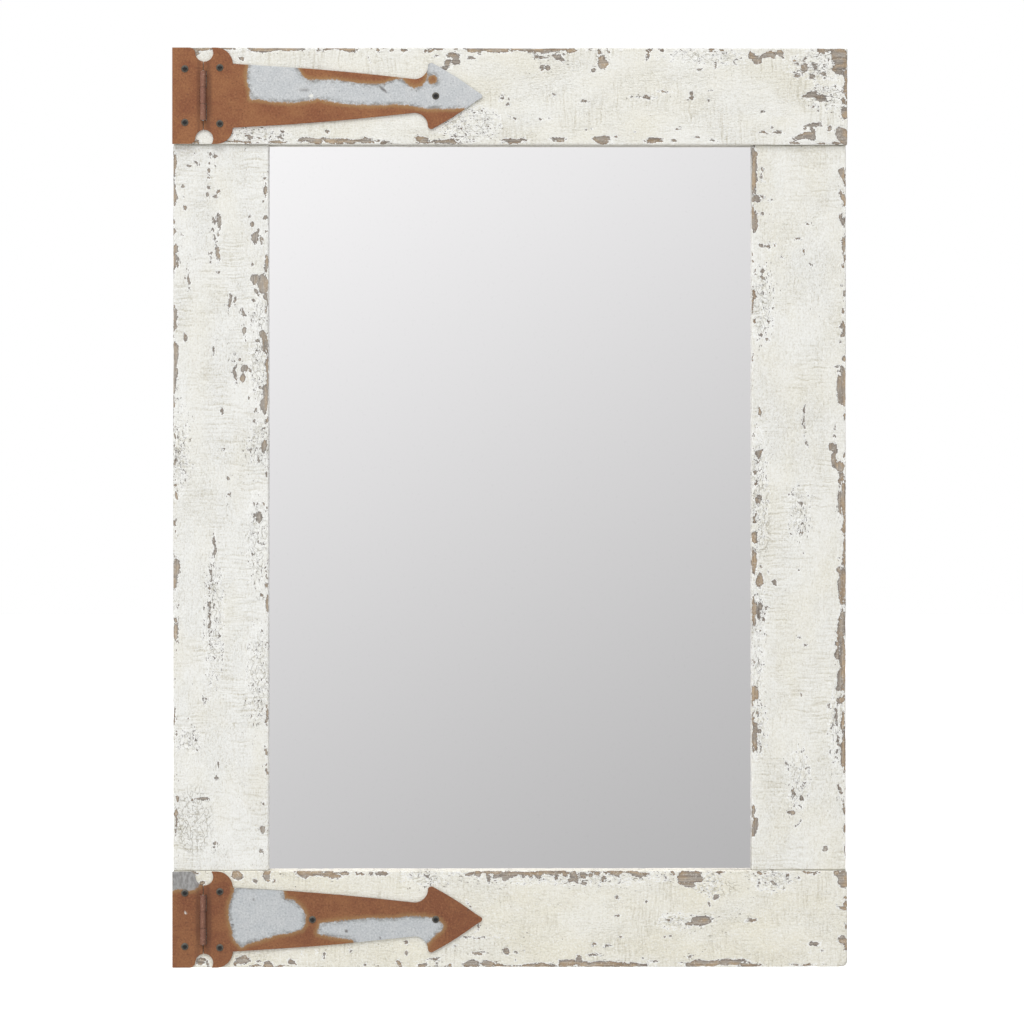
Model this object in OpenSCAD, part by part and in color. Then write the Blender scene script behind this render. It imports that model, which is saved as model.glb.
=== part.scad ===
// Rustic wall mirror: four rough boards round a flat mirror, dressed with two arrow-head strap hinges.
// Millimetres. +Z is up, the mirror faces -Y, and the wall is the plane y = 0.
// The origin lies midway between the two ring hangers, on the wall and at the height of their pivots.

/* [Board frame] */
// Length of the top and bottom rails
rail_l = 611; // [540:1:760]
// Height of the rails' faces
rail_h = 87.5; // [87.5:0.5:110]
// Thickness of the rails
rail_t = 23; // [21:0.5:32]
// Height of the whole frame
frame_h = 832; // [700:1:1100]
// Width of the stiles' faces
stile_w = 85.5; // [80:0.5:105]
// Thickness of the stiles
stile_t = 20; // [18:0.5:30]
// How far each rail end stands past the stile below it
rail_overhang = 1.2; // [0:0.1:4]
// Radius worn on to the long edges of the boards
edge_r = 1; // [0.5:0.1:2]
// Radius of the dowels between stiles and rails
dowel_r = 4; // [3:0.5:5]
// Length of the dowels
dowel_l = 40; // [30:1:50]
// Distance between the two dowels of one corner
dowel_pitch = 30; // [24:1:36]

/* [Mirror and back panel] */
// Depth of the stiles' wood in front of the glass
lip_t = 9; // [7:0.5:12]
// Thickness of the mirror glass
mirror_t = 3; // [2:0.5:5]
// Width of the rebate that the glass lies in
rebate_w = 9.5; // [6:0.5:12]
// Gap between the edge of the glass and the rebate wall
mirror_play = 1.5; // [0.5:0.1:3]
// Gap on each side of the card behind the glass
card_play = 0.1; // [0.05:0.05:0.3]
// Thickness of the hardboard back panel
panel_t = 3; // [2:0.5:4]
// How far the panel laps on to the boards
panel_lap = 28; // [24:1:34]
// Radius of the panel's corners
panel_corner_r = 4; // [2:0.5:8]
// Distance of the panel screws from the panel's edge
panel_screw_in = 9; // [6:0.5:10]
// Panel screws down each long side, corners included
panel_side_screws = 5; // [3:1:8]
// Panel screws along each short side, corners left out
panel_end_screws = 2; // [1:1:5]
// Length of the panel screws under the head
panel_screw_l = 9; // [7:0.5:11]

/* [Strap hinges] */
// Thickness of the hinge plate
hinge_t = 1.5; // [1:0.1:2]
// From the outer edge of the butt leaf to the pin
leaf_w = 28; // [26:0.5:32]
// Height of the butt leaf and of the strap's root
leaf_h = 87; // [84:0.5:87.5]
// From the pin to the arrow tip
strap_l = 252; // [220:1:300]
// Width of the strap next to its root
root_w = 57.8; // [54:0.2:60]
// Swell of the strap's long edges past a straight taper
strap_swell = 1.4; // [0:0.1:3]
// Width of the strap at its neck
neck_w = 30.4; // [26:0.2:34]
// Width across the barbs of the arrow head
head_w = 59.6; // [56:0.2:62]
// From the barbs to the arrow tip
head_l = 46; // [40:0.5:52]
// Swell of the arrow head's slanted edges past a straight line
head_swell = 1.2; // [0:0.1:2]
// Radius of the cove between neck and barb
cove_r = 12.2; // [11:0.1:13]
// Radius that rounds each barb
barb_r = 3; // [2:0.1:4]
// Radius that rounds the arrow tip
tip_r = 2.2; // [1:0.1:3]
// Radius of the round lobes at the strap's root
lobe_r = 15; // [14.5:0.1:16]
// Radius of the round notch where leaf and strap meet
notch_r = 8.1; // [7.5:0.1:8.5]
// Distance of the notch centre from the leaf's end
notch_in = 4.6; // [4:0.1:5.2]
// Distance of the notch centre past the pin
notch_x = 0.9; // [0.5:0.1:1.2]
// Radius of the butt leaf's shoulders
shoulder_r = 5.4; // [4:0.1:6]
// Slit between leaf and strap above and below the barrel
slit_w = 0.7; // [0.5:0.1:1]
// Length of one knuckle
knuckle_l = 14.6; // [12:0.2:16]
// Gap between two knuckles
knuckle_gap = 0.3; // [0.2:0.05:0.5]
// Seam left where a knuckle's roll closes on its plate
knuckle_seam = 0.3; // [0.2:0.05:0.4]
// Radius of the hinge pin
pin_r = 1.2; // [1:0.1:1.5]
// Radial play of the pin in the knuckles
pin_play = 0.05; // [0.02:0.01:0.1]
// How far each pin end stands out of the barrel
pin_out = 0.5; // [0.2:0.1:1]
// Distance of the butt leaf's screws from the pin
leaf_screw_x = 16.6; // [14:0.2:18]
// Distance between the butt leaf's two screws
leaf_screw_pitch = 48.4; // [44:0.2:54]
// Distance of the strap's root screws from the pin
root_screw_x = 15; // [13:0.2:18]
// Distance between the strap's two root screws
root_screw_pitch = 50.6; // [44:0.2:54]
// Distance of the screw half way along the strap from the pin
mid_screw_x = 98.6; // [80:0.2:120]
// Distance of the arrow head's screw from the arrow tip
head_screw_in = 42; // [36:0.5:44]
// Length of the hinge screws under the head
hinge_screw_l = 14; // [10:0.5:16]

/* [Screws] */
// Shank radius of the hinge and hanger screws
screw_r = 1.7; // [1.3:0.1:1.8]
// Head radius of the hinge and hanger screws
screw_head_r = 3.3; // [3:0.1:3.6]
// Head height of the hinge and hanger screws
screw_head_h = 1.9; // [1.4:0.1:2.4]
// Shank radius of the panel screws
panel_screw_r = 1.3; // [1:0.1:1.6]
// Head radius of the panel screws
panel_screw_head_r = 2.8; // [2.4:0.1:3.2]
// Head height of the panel screws
panel_screw_head_h = 1.5; // [1.2:0.1:1.9]
// Radial play of a screw in the plate that it holds
hole_play = 0.25; // [0.15:0.05:0.4]
// Radial play of a screw or dowel in its bore in the wood
bore_play = 0.05; // [0.02:0.01:0.1]

/* [Ring hangers] */
// From the frame's top edge down to the ring pivots
hang_drop = 166; // [130:1:240]
// Width of the hanger strap
hanger_w = 14; // [12:0.5:15]
// From the ring pivot to the hanger strap's rounded end
hanger_l = 46; // [44:0.5:54]
// Thickness of the hanger strap
hanger_t = 1.2; // [0.8:0.1:1.3]
// From the ring pivot to the first hanger screw
hanger_screw_z = 25; // [24.5:0.5:28]
// Distance between the two hanger screws
hanger_screw_pitch = 13; // [11:0.5:14]
// Length of the hanger screws under the head
hanger_screw_l = 14; // [10:0.5:17]
// Radius of the ring's wire
wire_r = 1.5; // [1.2:0.1:1.6]
// Radial play of the ring in the hanger's roll
ring_play = 0.08; // [0.04:0.01:0.1]
// Gap between the lowered ring and the hanger strap
ring_lift = 0.3; // [0.2:0.05:0.4]
// Radius of the ring's bow, along the middle of the wire
bow_r = 10.5; // [10:0.1:11]
// Radius of the ring's corners, along the middle of the wire
ring_corner_r = 2.5; // [1.8:0.1:2.8]
// From the ring pivot to the centre of the bow
bow_drop = 6; // [5:0.1:6.5]

/* [Wall bumpers] */
// Thickness of the bumpers, which sets the gap behind the boards
bumper_t = 6; // [6:0.5:12]
// Radius of a bumper where it meets the wood
bumper_r = 9; // [7.5:0.5:12]
// How much narrower a bumper is at the wall
bumper_taper = 1.5; // [0.5:0.1:2]
// Distance of the bumpers from the rail's ends
bumper_in = 31; // [24:1:60]
// Rubber left between the bumper screw's head and the wood
bumper_web = 2.5; // [2:0.1:3.5]
// Length of the bumper screws under the head
bumper_screw_l = 13; // [10:0.5:17]

/* [Hidden] */
$fn = 48;

// Cuts run this far past the faces that they open
cut = 1;
// Spare depth at the end of a blind bore
bore_spare = 0.5;
// Points along each arc of a hinge outline
arc_steps = 12;
// A screw's recess as shares of its head's radius and height, and its point as shares of the shank's radius
recess_long = 1.2;
recess_wide = 0.25;
recess_deep = 0.5;
point_share = 2;
point_blunt = 0.25;
// Chamfer of a dowel's ends as a share of its radius
dowel_chamfer = 0.2;

paint_colour = [0.92, 0.91, 0.86];
wood_colour = [0.72, 0.58, 0.42];
mirror_colour = [0.84, 0.85, 0.86];
card_colour = [0.68, 0.54, 0.38];
panel_colour = [0.45, 0.31, 0.2];
rust_colour = [0.6, 0.4, 0.28];
black_colour = [0.13, 0.13, 0.14];
zinc_colour = [0.75, 0.76, 0.78];
rubber_colour = [0.1, 0.1, 0.1];

// Depths, from the wall to the front
back_y = -bumper_t;
rail_front_y = back_y - rail_t;
rebate_d = stile_t - lip_t;
mirror_front_y = back_y - rebate_d;
card_t = rebate_d - mirror_t - 2 * card_play;
dowel_y = back_y - stile_t / 2;

// Widths and heights
opening_w = rail_l - 2 * rail_overhang - 2 * stile_w;
opening_h = frame_h - 2 * rail_h;
top_z = hang_drop;
mid_z = top_z - frame_h / 2;
top_rail_z = top_z - rail_h / 2;
bottom_rail_z = top_z - frame_h + rail_h / 2;
stile_x = (opening_w + stile_w) / 2;
panel_w = opening_w + 2 * panel_lap;
panel_h = opening_h + 2 * panel_lap;
panel_screw_x = panel_w / 2 - panel_screw_in;
panel_screw_z = panel_h / 2 - panel_screw_in;

// Hinges, in a frame of their own: x from the pin along the strap, y up, z off the board
knuckle_bore_r = pin_r + pin_play;
knuckle_r = knuckle_bore_r + hinge_t;
barrel_half = 1.5 * knuckle_l + knuckle_gap;
room_x = knuckle_r + knuckle_gap;
hinge_x = leaf_w - rail_l / 2;
lobe_y = leaf_h / 2 - lobe_r;
notch_y = leaf_h / 2 - notch_in;
shoulder_y = leaf_h / 2 - shoulder_r;
shoulder_x = notch_x - notch_r - shoulder_r;
lobe_x = notch_x + notch_r + shoulder_r / 2;
barb_x = strap_l - head_l;
barb_y = head_w / 2 - barb_r;
cove_x = barb_x - barb_r - cove_r;
cove_y = neck_w / 2 + cove_r;
tip_x = strap_l - tip_r;
// Directions in which the arcs of the arrow head end and start, in degrees from the strap's length
cove_end = -12;
barb_start = 170;
barb_end = 60;
tip_start = 55;
leaf_screws = [[-leaf_screw_x, leaf_screw_pitch / 2], [-leaf_screw_x, -leaf_screw_pitch / 2]];
root_screws = [[root_screw_x, root_screw_pitch / 2], [root_screw_x, -root_screw_pitch / 2]];
head_screw = [[strap_l - head_screw_in, 0]];
mid_screw = [[mid_screw_x, 0]];
top_strap_screws = concat(root_screws, head_screw);
bottom_strap_screws = concat(root_screws, mid_screw, head_screw);
hinge_hole_r = screw_r + hole_play;

// Hangers, in a frame of their own: the ring pivot lies along x, z is up and y leads to the wall
hanger_x = opening_w / 2 + (panel_lap + stile_w) / 2;
roll_bore_r = wire_r + ring_play;
roll_r = roll_bore_r + hanger_t;
pivot_off = hanger_t + ring_lift + wire_r;
hanger_screws = [-hanger_screw_z, -hanger_screw_z - hanger_screw_pitch];

// Bumpers
bumper_x = rail_l / 2 - bumper_in;
bumper_head_play = 0.5;

// ---------- Shared shapes ----------

// Points along an arc round c, from angle a to angle b
function arc(c, r, a, b) = [
    for (i = [0 : arc_steps])
        let (t = a + (b - a) * i / arc_steps)
        [c[0] + r * cos(t), c[1] + r * sin(t)]
];

// Points on the line from p to q, swollen sideways by s in the middle, with p and q left out
function swell(p, q, s) = [
    for (i = [1 : arc_steps - 1])
        let (t = i / arc_steps)
        [p[0] + (q[0] - p[0]) * t, p[1] + (q[1] - p[1]) * t + s * sin(180 * t)]
];

// The upper half of an outline, then its mirror image back to the start
function both_halves(upper) = concat(
    upper,
    [for (i = [len(upper) - 1 : -1 : 0]) [upper[i][0], -upper[i][1]]]
);

// Rectangle of w by h round the origin, with its corners rounded to r
module rounded_rectangle(w, h, r) {
    square([w - 2 * r, h], center = true);
    square([w, h - 2 * r], center = true);
    for (x = [-1, 1], y = [-1, 1])
        translate([x * (w / 2 - r), y * (h / 2 - r)])
            circle(r);
}

// Domed screw with a crossed recess: the head's seat is at z = 0 and the tip points down
module pan_screw(shank_r, shank_l, head_r, head_h) {
    dome_r = (head_r * head_r + head_h * head_h) / (2 * head_h);
    point_l = point_share * shank_r;
    recess_l = recess_long * head_r;
    recess_w = recess_wide * head_r;
    recess_d = recess_deep * head_h;
    difference() {
        intersection() {
            translate([0, 0, head_h - dome_r])
                sphere(dome_r);
            cylinder(r = head_r, h = head_h + cut);
        }
        for (a = [0, 90])
            rotate([0, 0, a])
                translate([-recess_l / 2, -recess_w / 2, head_h - recess_d])
                    cube([recess_l, recess_w, head_h]);
    }
    translate([0, 0, point_l - shank_l])
        cylinder(r = shank_r, h = shank_l - point_l);
    translate([0, 0, -shank_l])
        cylinder(r1 = point_blunt * shank_r, r2 = shank_r, h = point_l);
}

// Bore for a shank of radius r that goes l deep from z = 0
module pilot(r, l) {
    translate([0, 0, -l - bore_spare])
        cylinder(r = r + bore_play, h = l + bore_spare + cut);
}

// ---------- Board frame ----------

// Places a screw at x, z on the back of the boards, pointing into the wood
module on_back(x, z, lift = 0) {
    translate([x, back_y + lift, z])
        rotate([-90, 0, 0])
            children();
}

// Places hinge geometry on the front of a rail
module on_rail(rail_z) {
    translate([hinge_x, rail_front_y, rail_z])
        rotate([90, 0, 0])
            children();
}

// Centres of the panel screws
panel_screw_spots = concat(
    [
        for (x = [-1, 1], i = [0 : panel_side_screws - 1])
            [x * panel_screw_x, panel_screw_z * (2 * i / (panel_side_screws - 1) - 1)]
    ],
    [
        for (z = [-1, 1], i = [1 : panel_end_screws])
            [panel_screw_x * (2 * i / (panel_end_screws + 1) - 1), z * panel_screw_z]
    ]
);

module panel_pilots() {
    for (spot = panel_screw_spots)
        on_back(spot[0], mid_z + spot[1])
            pilot(panel_screw_r, panel_screw_l - panel_t);
}

// The dowels of all four corners, or their bores
module at_dowels() {
    for (x = [-stile_x, stile_x], s = [-1, 1], z = [top_z - rail_h, top_z - frame_h + rail_h])
        translate([x + s * dowel_pitch / 2, dowel_y, z])
            children();
}

module dowel_bores() {
    at_dowels()
        cylinder(r = dowel_r + bore_play, h = dowel_l + 2 * bore_spare, center = true);
}

// The rebate for the glass, cut into all four boards
module rebate() {
    rebate_size = [opening_w + 2 * rebate_w, rebate_d + cut, opening_h + 2 * rebate_w];
    translate([0, back_y + (cut - rebate_d) / 2, mid_z])
        cube(rebate_size, center = true);
}

// A rail along x, centred at rail_z, bored for its hinge's screws and for bumpers at the given places
module rail(rail_z, strap_screws, bumper_spots) {
    color(paint_colour)
        difference() {
            translate([-rail_l / 2, back_y - rail_t / 2, rail_z])
                rotate([90, 0, 90])
                    linear_extrude(rail_l)
                        rounded_rectangle(rail_t, rail_h, edge_r);
            rebate();
            dowel_bores();
            panel_pilots();
            on_rail(rail_z)
                for (spot = concat(leaf_screws, strap_screws))
                    translate(spot)
                        pilot(screw_r, hinge_screw_l - hinge_t);
            for (x = bumper_spots)
                on_back(x, rail_z)
                    pilot(screw_r, bumper_screw_l - bumper_web);
        }
}

// A stile up z, on the side given by side, bored for its hanger
module stile(side) {
    color(paint_colour)
        difference() {
            translate([side * stile_x, back_y - stile_t / 2, mid_z - opening_h / 2])
                linear_extrude(opening_h)
                    rounded_rectangle(stile_w, stile_t, edge_r);
            rebate();
            dowel_bores();
            panel_pilots();
            for (z = hanger_screws)
                on_back(side * hanger_x, z)
                    pilot(screw_r, hanger_screw_l - hanger_t);
        }
}

module top_rail() {
    rail(top_rail_z, top_strap_screws, []);
}

module bottom_rail() {
    rail(bottom_rail_z, bottom_strap_screws, [-bumper_x, bumper_x]);
}

module left_stile() {
    stile(-1);
}

module right_stile() {
    stile(1);
}

// Dowels with chamfered ends
module frame_dowels() {
    chamfer = dowel_chamfer * dowel_r;
    color(wood_colour)
        at_dowels()
            for (flip = [0, 180])
                rotate([flip, 0, 0]) {
                    cylinder(r = dowel_r, h = dowel_l / 2 - chamfer);
                    translate([0, 0, dowel_l / 2 - chamfer])
                        cylinder(r1 = dowel_r, r2 = dowel_r - chamfer, h = chamfer);
                }
}

// ---------- Mirror and back panel ----------

// A sheet of thickness t that lies loose in the rebate, with its front face at y
module rebate_sheet(y, t) {
    sheet_w = opening_w + 2 * (rebate_w - mirror_play);
    sheet_h = opening_h + 2 * (rebate_w - mirror_play);
    translate([-sheet_w / 2, y, mid_z - sheet_h / 2])
        cube([sheet_w, t, sheet_h]);
}

// The silvered glass, against the front of the rebate
module mirror_glass() {
    color(mirror_colour)
        rebate_sheet(mirror_front_y, mirror_t);
}

// Corrugated card that fills the rebate behind the glass
module packing_card() {
    color(card_colour)
        rebate_sheet(mirror_front_y + mirror_t + card_play, card_t);
}

// Hardboard panel that closes the back and holds card and glass in their rebate
module back_panel() {
    color(panel_colour)
        difference() {
            translate([0, back_y + panel_t, mid_z])
                rotate([90, 0, 0])
                    linear_extrude(panel_t)
                        rounded_rectangle(panel_w, panel_h, panel_corner_r);
            for (spot = panel_screw_spots)
                on_back(spot[0], mid_z + spot[1])
                    translate([0, 0, -cut])
                        cylinder(r = panel_screw_r + hole_play, h = panel_t + 2 * cut);
        }
}

module panel_screws() {
    color(black_colour)
        for (spot = panel_screw_spots)
            on_back(spot[0], mid_z + spot[1], panel_t)
                pan_screw(panel_screw_r, panel_screw_l, panel_screw_head_r, panel_screw_head_h);
}

// ---------- Strap hinges ----------

// Outline of the butt leaf: square outer end, rounded shoulders and half of each round notch
function leaf_outline() = both_halves(concat(
    [[-leaf_w, leaf_h / 2]],
    arc([shoulder_x, shoulder_y], shoulder_r, 90, 0),
    arc(
        [notch_x, notch_y],
        notch_r,
        180 - asin((shoulder_y - notch_y) / notch_r),
        360 - acos((-slit_w / 2 - notch_x) / notch_r)
    )
));

// Outline of the strap: lobed root, swelling taper, coved neck and barbed arrow head
function strap_outline() = both_halves(concat(
    arc(
        [notch_x, notch_y],
        notch_r,
        -acos((slit_w / 2 - notch_x) / notch_r),
        asin((lobe_y + lobe_r - notch_y) / notch_r)
    ),
    arc([lobe_x, lobe_y], lobe_r, 90, asin((root_w / 2 - lobe_y) / lobe_r)),
    swell([lobe_x + lobe_r, root_w / 2], [cove_x, neck_w / 2], strap_swell),
    arc([cove_x, cove_y], cove_r, -90, cove_end),
    arc([barb_x, barb_y], barb_r, barb_start, barb_end),
    swell([barb_x, barb_y] + barb_r * [cos(barb_end), sin(barb_end)], [tip_x, tip_r], head_swell),
    arc([tip_x, 0], tip_r, tip_start, 0)
));

// Section of one rolled knuckle: the plate runs under the pin, round it and back on to itself
module knuckle_section() {
    difference() {
        union() {
            translate([0, knuckle_r])
                circle(knuckle_r);
            translate([-room_x - knuckle_gap, 0])
                square([room_x + knuckle_gap, hinge_t]);
        }
        translate([0, knuckle_r])
            circle(knuckle_bore_r);
        translate([-2 * knuckle_r, hinge_t])
            square([2 * knuckle_r, knuckle_seam]);
    }
}

// A knuckle of length l round the pin, its middle at height y, its plate leaving towards -x
module knuckle(y) {
    translate([0, y + knuckle_l / 2, 0])
        rotate([90, 0, 0])
            linear_extrude(knuckle_l)
                knuckle_section();
}

// Room in a plate for the whole barrel
module barrel_room() {
    room_half = barrel_half + knuckle_gap;
    translate([-room_x, -room_half, -cut])
        cube([2 * room_x, 2 * room_half, hinge_t + 2 * cut]);
}

module hinge_holes(spots) {
    for (spot = spots)
        translate([spot[0], spot[1], -cut])
            cylinder(r = hinge_hole_r, h = hinge_t + 2 * cut);
}

// Butt leaf, with the outer two of the barrel's three knuckles
module hinge_leaf() {
    knuckle_y = knuckle_l + knuckle_gap;
    color(rust_colour) {
        difference() {
            linear_extrude(hinge_t)
                polygon(leaf_outline());
            barrel_room();
            hinge_holes(leaf_screws);
        }
        knuckle(knuckle_y);
        knuckle(-knuckle_y);
    }
}

// Strap, with the middle knuckle
module hinge_strap(screws) {
    color(rust_colour) {
        difference() {
            linear_extrude(hinge_t)
                polygon(strap_outline());
            barrel_room();
            hinge_holes(screws);
        }
        mirror([1, 0, 0])
            knuckle(0);
    }
}

module hinge_pin() {
    pin_half = barrel_half + pin_out;
    color(rust_colour)
        translate([0, pin_half, knuckle_r])
            rotate([90, 0, 0])
                cylinder(r = pin_r, h = 2 * pin_half);
}

module hinge_screws(spots) {
    color(black_colour)
        for (spot = spots)
            translate([spot[0], spot[1], hinge_t])
                pan_screw(screw_r, hinge_screw_l, screw_head_r, screw_head_h);
}

module top_hinge_leaf() {
    on_rail(top_rail_z)
        hinge_leaf();
}

module top_hinge_strap() {
    on_rail(top_rail_z)
        hinge_strap(top_strap_screws);
}

module top_hinge_pin() {
    on_rail(top_rail_z)
        hinge_pin();
}

module top_hinge_screws() {
    on_rail(top_rail_z)
        hinge_screws(concat(leaf_screws, top_strap_screws));
}

module bottom_hinge_leaf() {
    on_rail(bottom_rail_z)
        hinge_leaf();
}

module bottom_hinge_strap() {
    on_rail(bottom_rail_z)
        hinge_strap(bottom_strap_screws);
}

module bottom_hinge_pin() {
    on_rail(bottom_rail_z)
        hinge_pin();
}

module bottom_hinge_screws() {
    on_rail(bottom_rail_z)
        hinge_screws(concat(leaf_screws, bottom_strap_screws));
}

// ---------- Ring hangers ----------

// Flat strap with a rounded end, rolled round the ring's bar at the top
module hanger_strap(side) {
    color(zinc_colour)
        difference() {
            union() {
                translate([side * hanger_x, back_y, 0])
                    rotate([-90, 0, 0])
                        linear_extrude(hanger_t) {
                            translate([-hanger_w / 2, 0])
                                square([hanger_w, hanger_l - hanger_w / 2]);
                            translate([0, hanger_l - hanger_w / 2])
                                circle(hanger_w / 2);
                        }
                translate([side * hanger_x - hanger_w / 2, back_y + pivot_off, 0])
                    rotate([0, 90, 0])
                        cylinder(r = roll_r, h = hanger_w);
            }
            translate([side * hanger_x - hanger_w, back_y + pivot_off, 0])
                rotate([0, 90, 0])
                    cylinder(r = roll_bore_r, h = 2 * hanger_w);
            for (z = hanger_screws)
                on_back(side * hanger_x, z)
                    translate([0, 0, -cut])
                        cylinder(r = screw_r + hole_play, h = hanger_t + 2 * cut);
        }
}

// A quarter or half turn of the ring's wire, in the plane of the ring
module wire_bend(r, from, turn) {
    rotate([0, 0, from])
        rotate_extrude(angle = turn)
            translate([r, 0])
                circle(wire_r);
}

module wire_run(from, l) {
    translate(from)
        rotate([-90, 0, 0])
            cylinder(r = wire_r, h = l);
}

// D-shaped wire ring, hanging down from its straight bar
module hanger_ring(side) {
    bar_half = bow_r - ring_corner_r;
    color(zinc_colour)
        translate([side * hanger_x, back_y + pivot_off, 0])
            rotate([90, 0, 0]) {
                translate([-bar_half, 0, 0])
                    rotate([0, 90, 0])
                        cylinder(r = wire_r, h = 2 * bar_half);
                translate([bar_half, -ring_corner_r, 0])
                    wire_bend(ring_corner_r, 0, 90);
                translate([-bar_half, -ring_corner_r, 0])
                    wire_bend(ring_corner_r, 90, 90);
                for (x = [-bow_r, bow_r])
                    wire_run([x, -bow_drop, 0], bow_drop - ring_corner_r);
                translate([0, -bow_drop, 0])
                    wire_bend(bow_r, 180, 180);
            }
}

module hanger_screw_pair(side) {
    color(zinc_colour)
        for (z = hanger_screws)
            on_back(side * hanger_x, z, hanger_t)
                pan_screw(screw_r, hanger_screw_l, screw_head_r, screw_head_h);
}

module left_hanger_strap() {
    hanger_strap(-1);
}

module left_hanger_ring() {
    hanger_ring(-1);
}

module left_hanger_screws() {
    hanger_screw_pair(-1);
}

module right_hanger_strap() {
    hanger_strap(1);
}

module right_hanger_ring() {
    hanger_ring(1);
}

module right_hanger_screws() {
    hanger_screw_pair(1);
}

// ---------- Wall bumpers ----------

// Tapered rubber bumper with a countersunk well for its screw
module bumper(side) {
    well_r = screw_head_r + bumper_head_play;
    color(rubber_colour)
        on_back(side * bumper_x, bottom_rail_z)
            difference() {
                cylinder(r1 = bumper_r, r2 = bumper_r - bumper_taper, h = bumper_t);
                translate([0, 0, -cut])
                    cylinder(r = screw_r + hole_play, h = bumper_t + 2 * cut);
                translate([0, 0, bumper_web])
                    cylinder(r = well_r, h = bumper_t);
            }
}

module left_bumper() {
    bumper(-1);
}

module right_bumper() {
    bumper(1);
}

module bumper_screws() {
    color(zinc_colour)
        for (x = [-bumper_x, bumper_x])
            on_back(x, bottom_rail_z, bumper_web)
                pan_screw(screw_r, bumper_screw_l, screw_head_r, screw_head_h);
}

top_rail();
bottom_rail();
left_stile();
right_stile();
frame_dowels();
mirror_glass();
packing_card();
back_panel();
panel_screws();
top_hinge_leaf();
top_hinge_strap();
top_hinge_pin();
top_hinge_screws();
bottom_hinge_leaf();
bottom_hinge_strap();
bottom_hinge_pin();
bottom_hinge_screws();
left_hanger_strap();
left_hanger_ring();
left_hanger_screws();
right_hanger_strap();
right_hanger_ring();
right_hanger_screws();
left_bumper();
right_bumper();
bumper_screws();
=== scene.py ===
"""Looks of a rustic wall mirror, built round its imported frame.

Lengths are in metres, except where a name or a comment says mm. Faces of the boards are described in mm from
the middle of the frame: x to the right, z up.
"""

import math

import bmesh
import bpy
import numpy as np
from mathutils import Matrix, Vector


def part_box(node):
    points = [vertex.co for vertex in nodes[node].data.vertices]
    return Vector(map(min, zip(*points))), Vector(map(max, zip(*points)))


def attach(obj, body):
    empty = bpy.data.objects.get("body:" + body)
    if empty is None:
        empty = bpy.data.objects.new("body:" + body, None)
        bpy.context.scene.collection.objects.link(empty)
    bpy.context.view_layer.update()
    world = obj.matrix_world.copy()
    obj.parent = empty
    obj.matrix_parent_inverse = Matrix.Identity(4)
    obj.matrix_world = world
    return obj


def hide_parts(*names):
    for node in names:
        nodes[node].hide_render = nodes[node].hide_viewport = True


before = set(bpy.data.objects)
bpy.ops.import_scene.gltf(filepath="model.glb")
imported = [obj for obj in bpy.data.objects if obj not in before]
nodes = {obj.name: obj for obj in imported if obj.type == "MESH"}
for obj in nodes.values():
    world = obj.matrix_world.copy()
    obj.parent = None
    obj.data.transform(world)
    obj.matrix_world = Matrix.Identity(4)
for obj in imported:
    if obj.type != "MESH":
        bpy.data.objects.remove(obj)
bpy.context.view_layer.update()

MM = 0.001

# ---------- What the frame says ----------

TOP_LOW, TOP_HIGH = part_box("top_rail")
BOTTOM_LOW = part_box("bottom_rail")[0]
MID_X = (TOP_LOW.x + TOP_HIGH.x) / 2
MID_Z = (TOP_HIGH.z + BOTTOM_LOW.z) / 2
FRONT_Y = TOP_LOW.y
BACK_Y = TOP_HIGH.y
HALF_WIDTH = (TOP_HIGH.x - TOP_LOW.x) / 2 / MM
HALF_HEIGHT = (TOP_HIGH.z - BOTTOM_LOW.z) / 2 / MM
GLASS_LOW, GLASS_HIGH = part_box("mirror_glass")
OPEN_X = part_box("right_stile")[0].x - MID_X
OPEN_Z = TOP_LOW.z - MID_Z

# ---------- Camera and lamps ----------

# The camera's place, from the front and the middle of the frame, and how far it turns to the right. Its lens
# and sensor are in mm.
CAMERA_BACK = 3.0
CAMERA_X = -0.026
CAMERA_DROP = 0.0039
CAMERA_YAW = math.radians(0.525)
CAMERA_LENS = 116.59
SENSOR_WIDTH = 36

# Each lamp's way from the middle of the frame, its distance and size, and its power in watts.
LAMPS = {
    "key": ((-0.35, -1.0, 1.45), 12.0, 9.0, 1150),
    "back_fill": ((-0.6, 1.0, 0.9), 3.2, 2.0, 50),
}


def add_object(name, data, place=(0, 0, 0)):
    obj = bpy.data.objects.new(name, data)
    obj.location = place
    bpy.context.scene.collection.objects.link(obj)
    return obj


def add_camera():
    data = bpy.data.cameras.new("camera")
    data.lens = CAMERA_LENS
    data.sensor_width = SENSOR_WIDTH
    camera = add_object("camera", data, (CAMERA_X, FRONT_Y - CAMERA_BACK, MID_Z - CAMERA_DROP))
    camera.rotation_euler = (math.radians(90), 0, -CAMERA_YAW)
    bpy.context.scene.camera = camera


def add_lamp(name, way, distance, size, power):
    """A square area lamp, that far from the middle of the frame along way, turned towards the middle."""
    data = bpy.data.lights.new(name, "AREA")
    data.size = size
    data.energy = power
    middle = np.array([MID_X, FRONT_Y, MID_Z])
    lamp = add_object(name, data, middle + distance * np.array(way) / np.linalg.norm(way))
    x, y, z = middle - np.array(lamp.location)
    lamp.rotation_euler = (math.atan2(math.hypot(x, y), -z), 0, math.atan2(-x, y))


# ---------- Node graphs ----------


def srgb(red, green, blue):
    """A colour given as 0 to 255 on screen."""

    def linear(value):
        share = value / 255
        return share / 12.92 if share <= 0.04045 else ((share + 0.055) / 1.055) ** 2.4

    return tuple(linear(value) for value in (red, green, blue))


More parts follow.
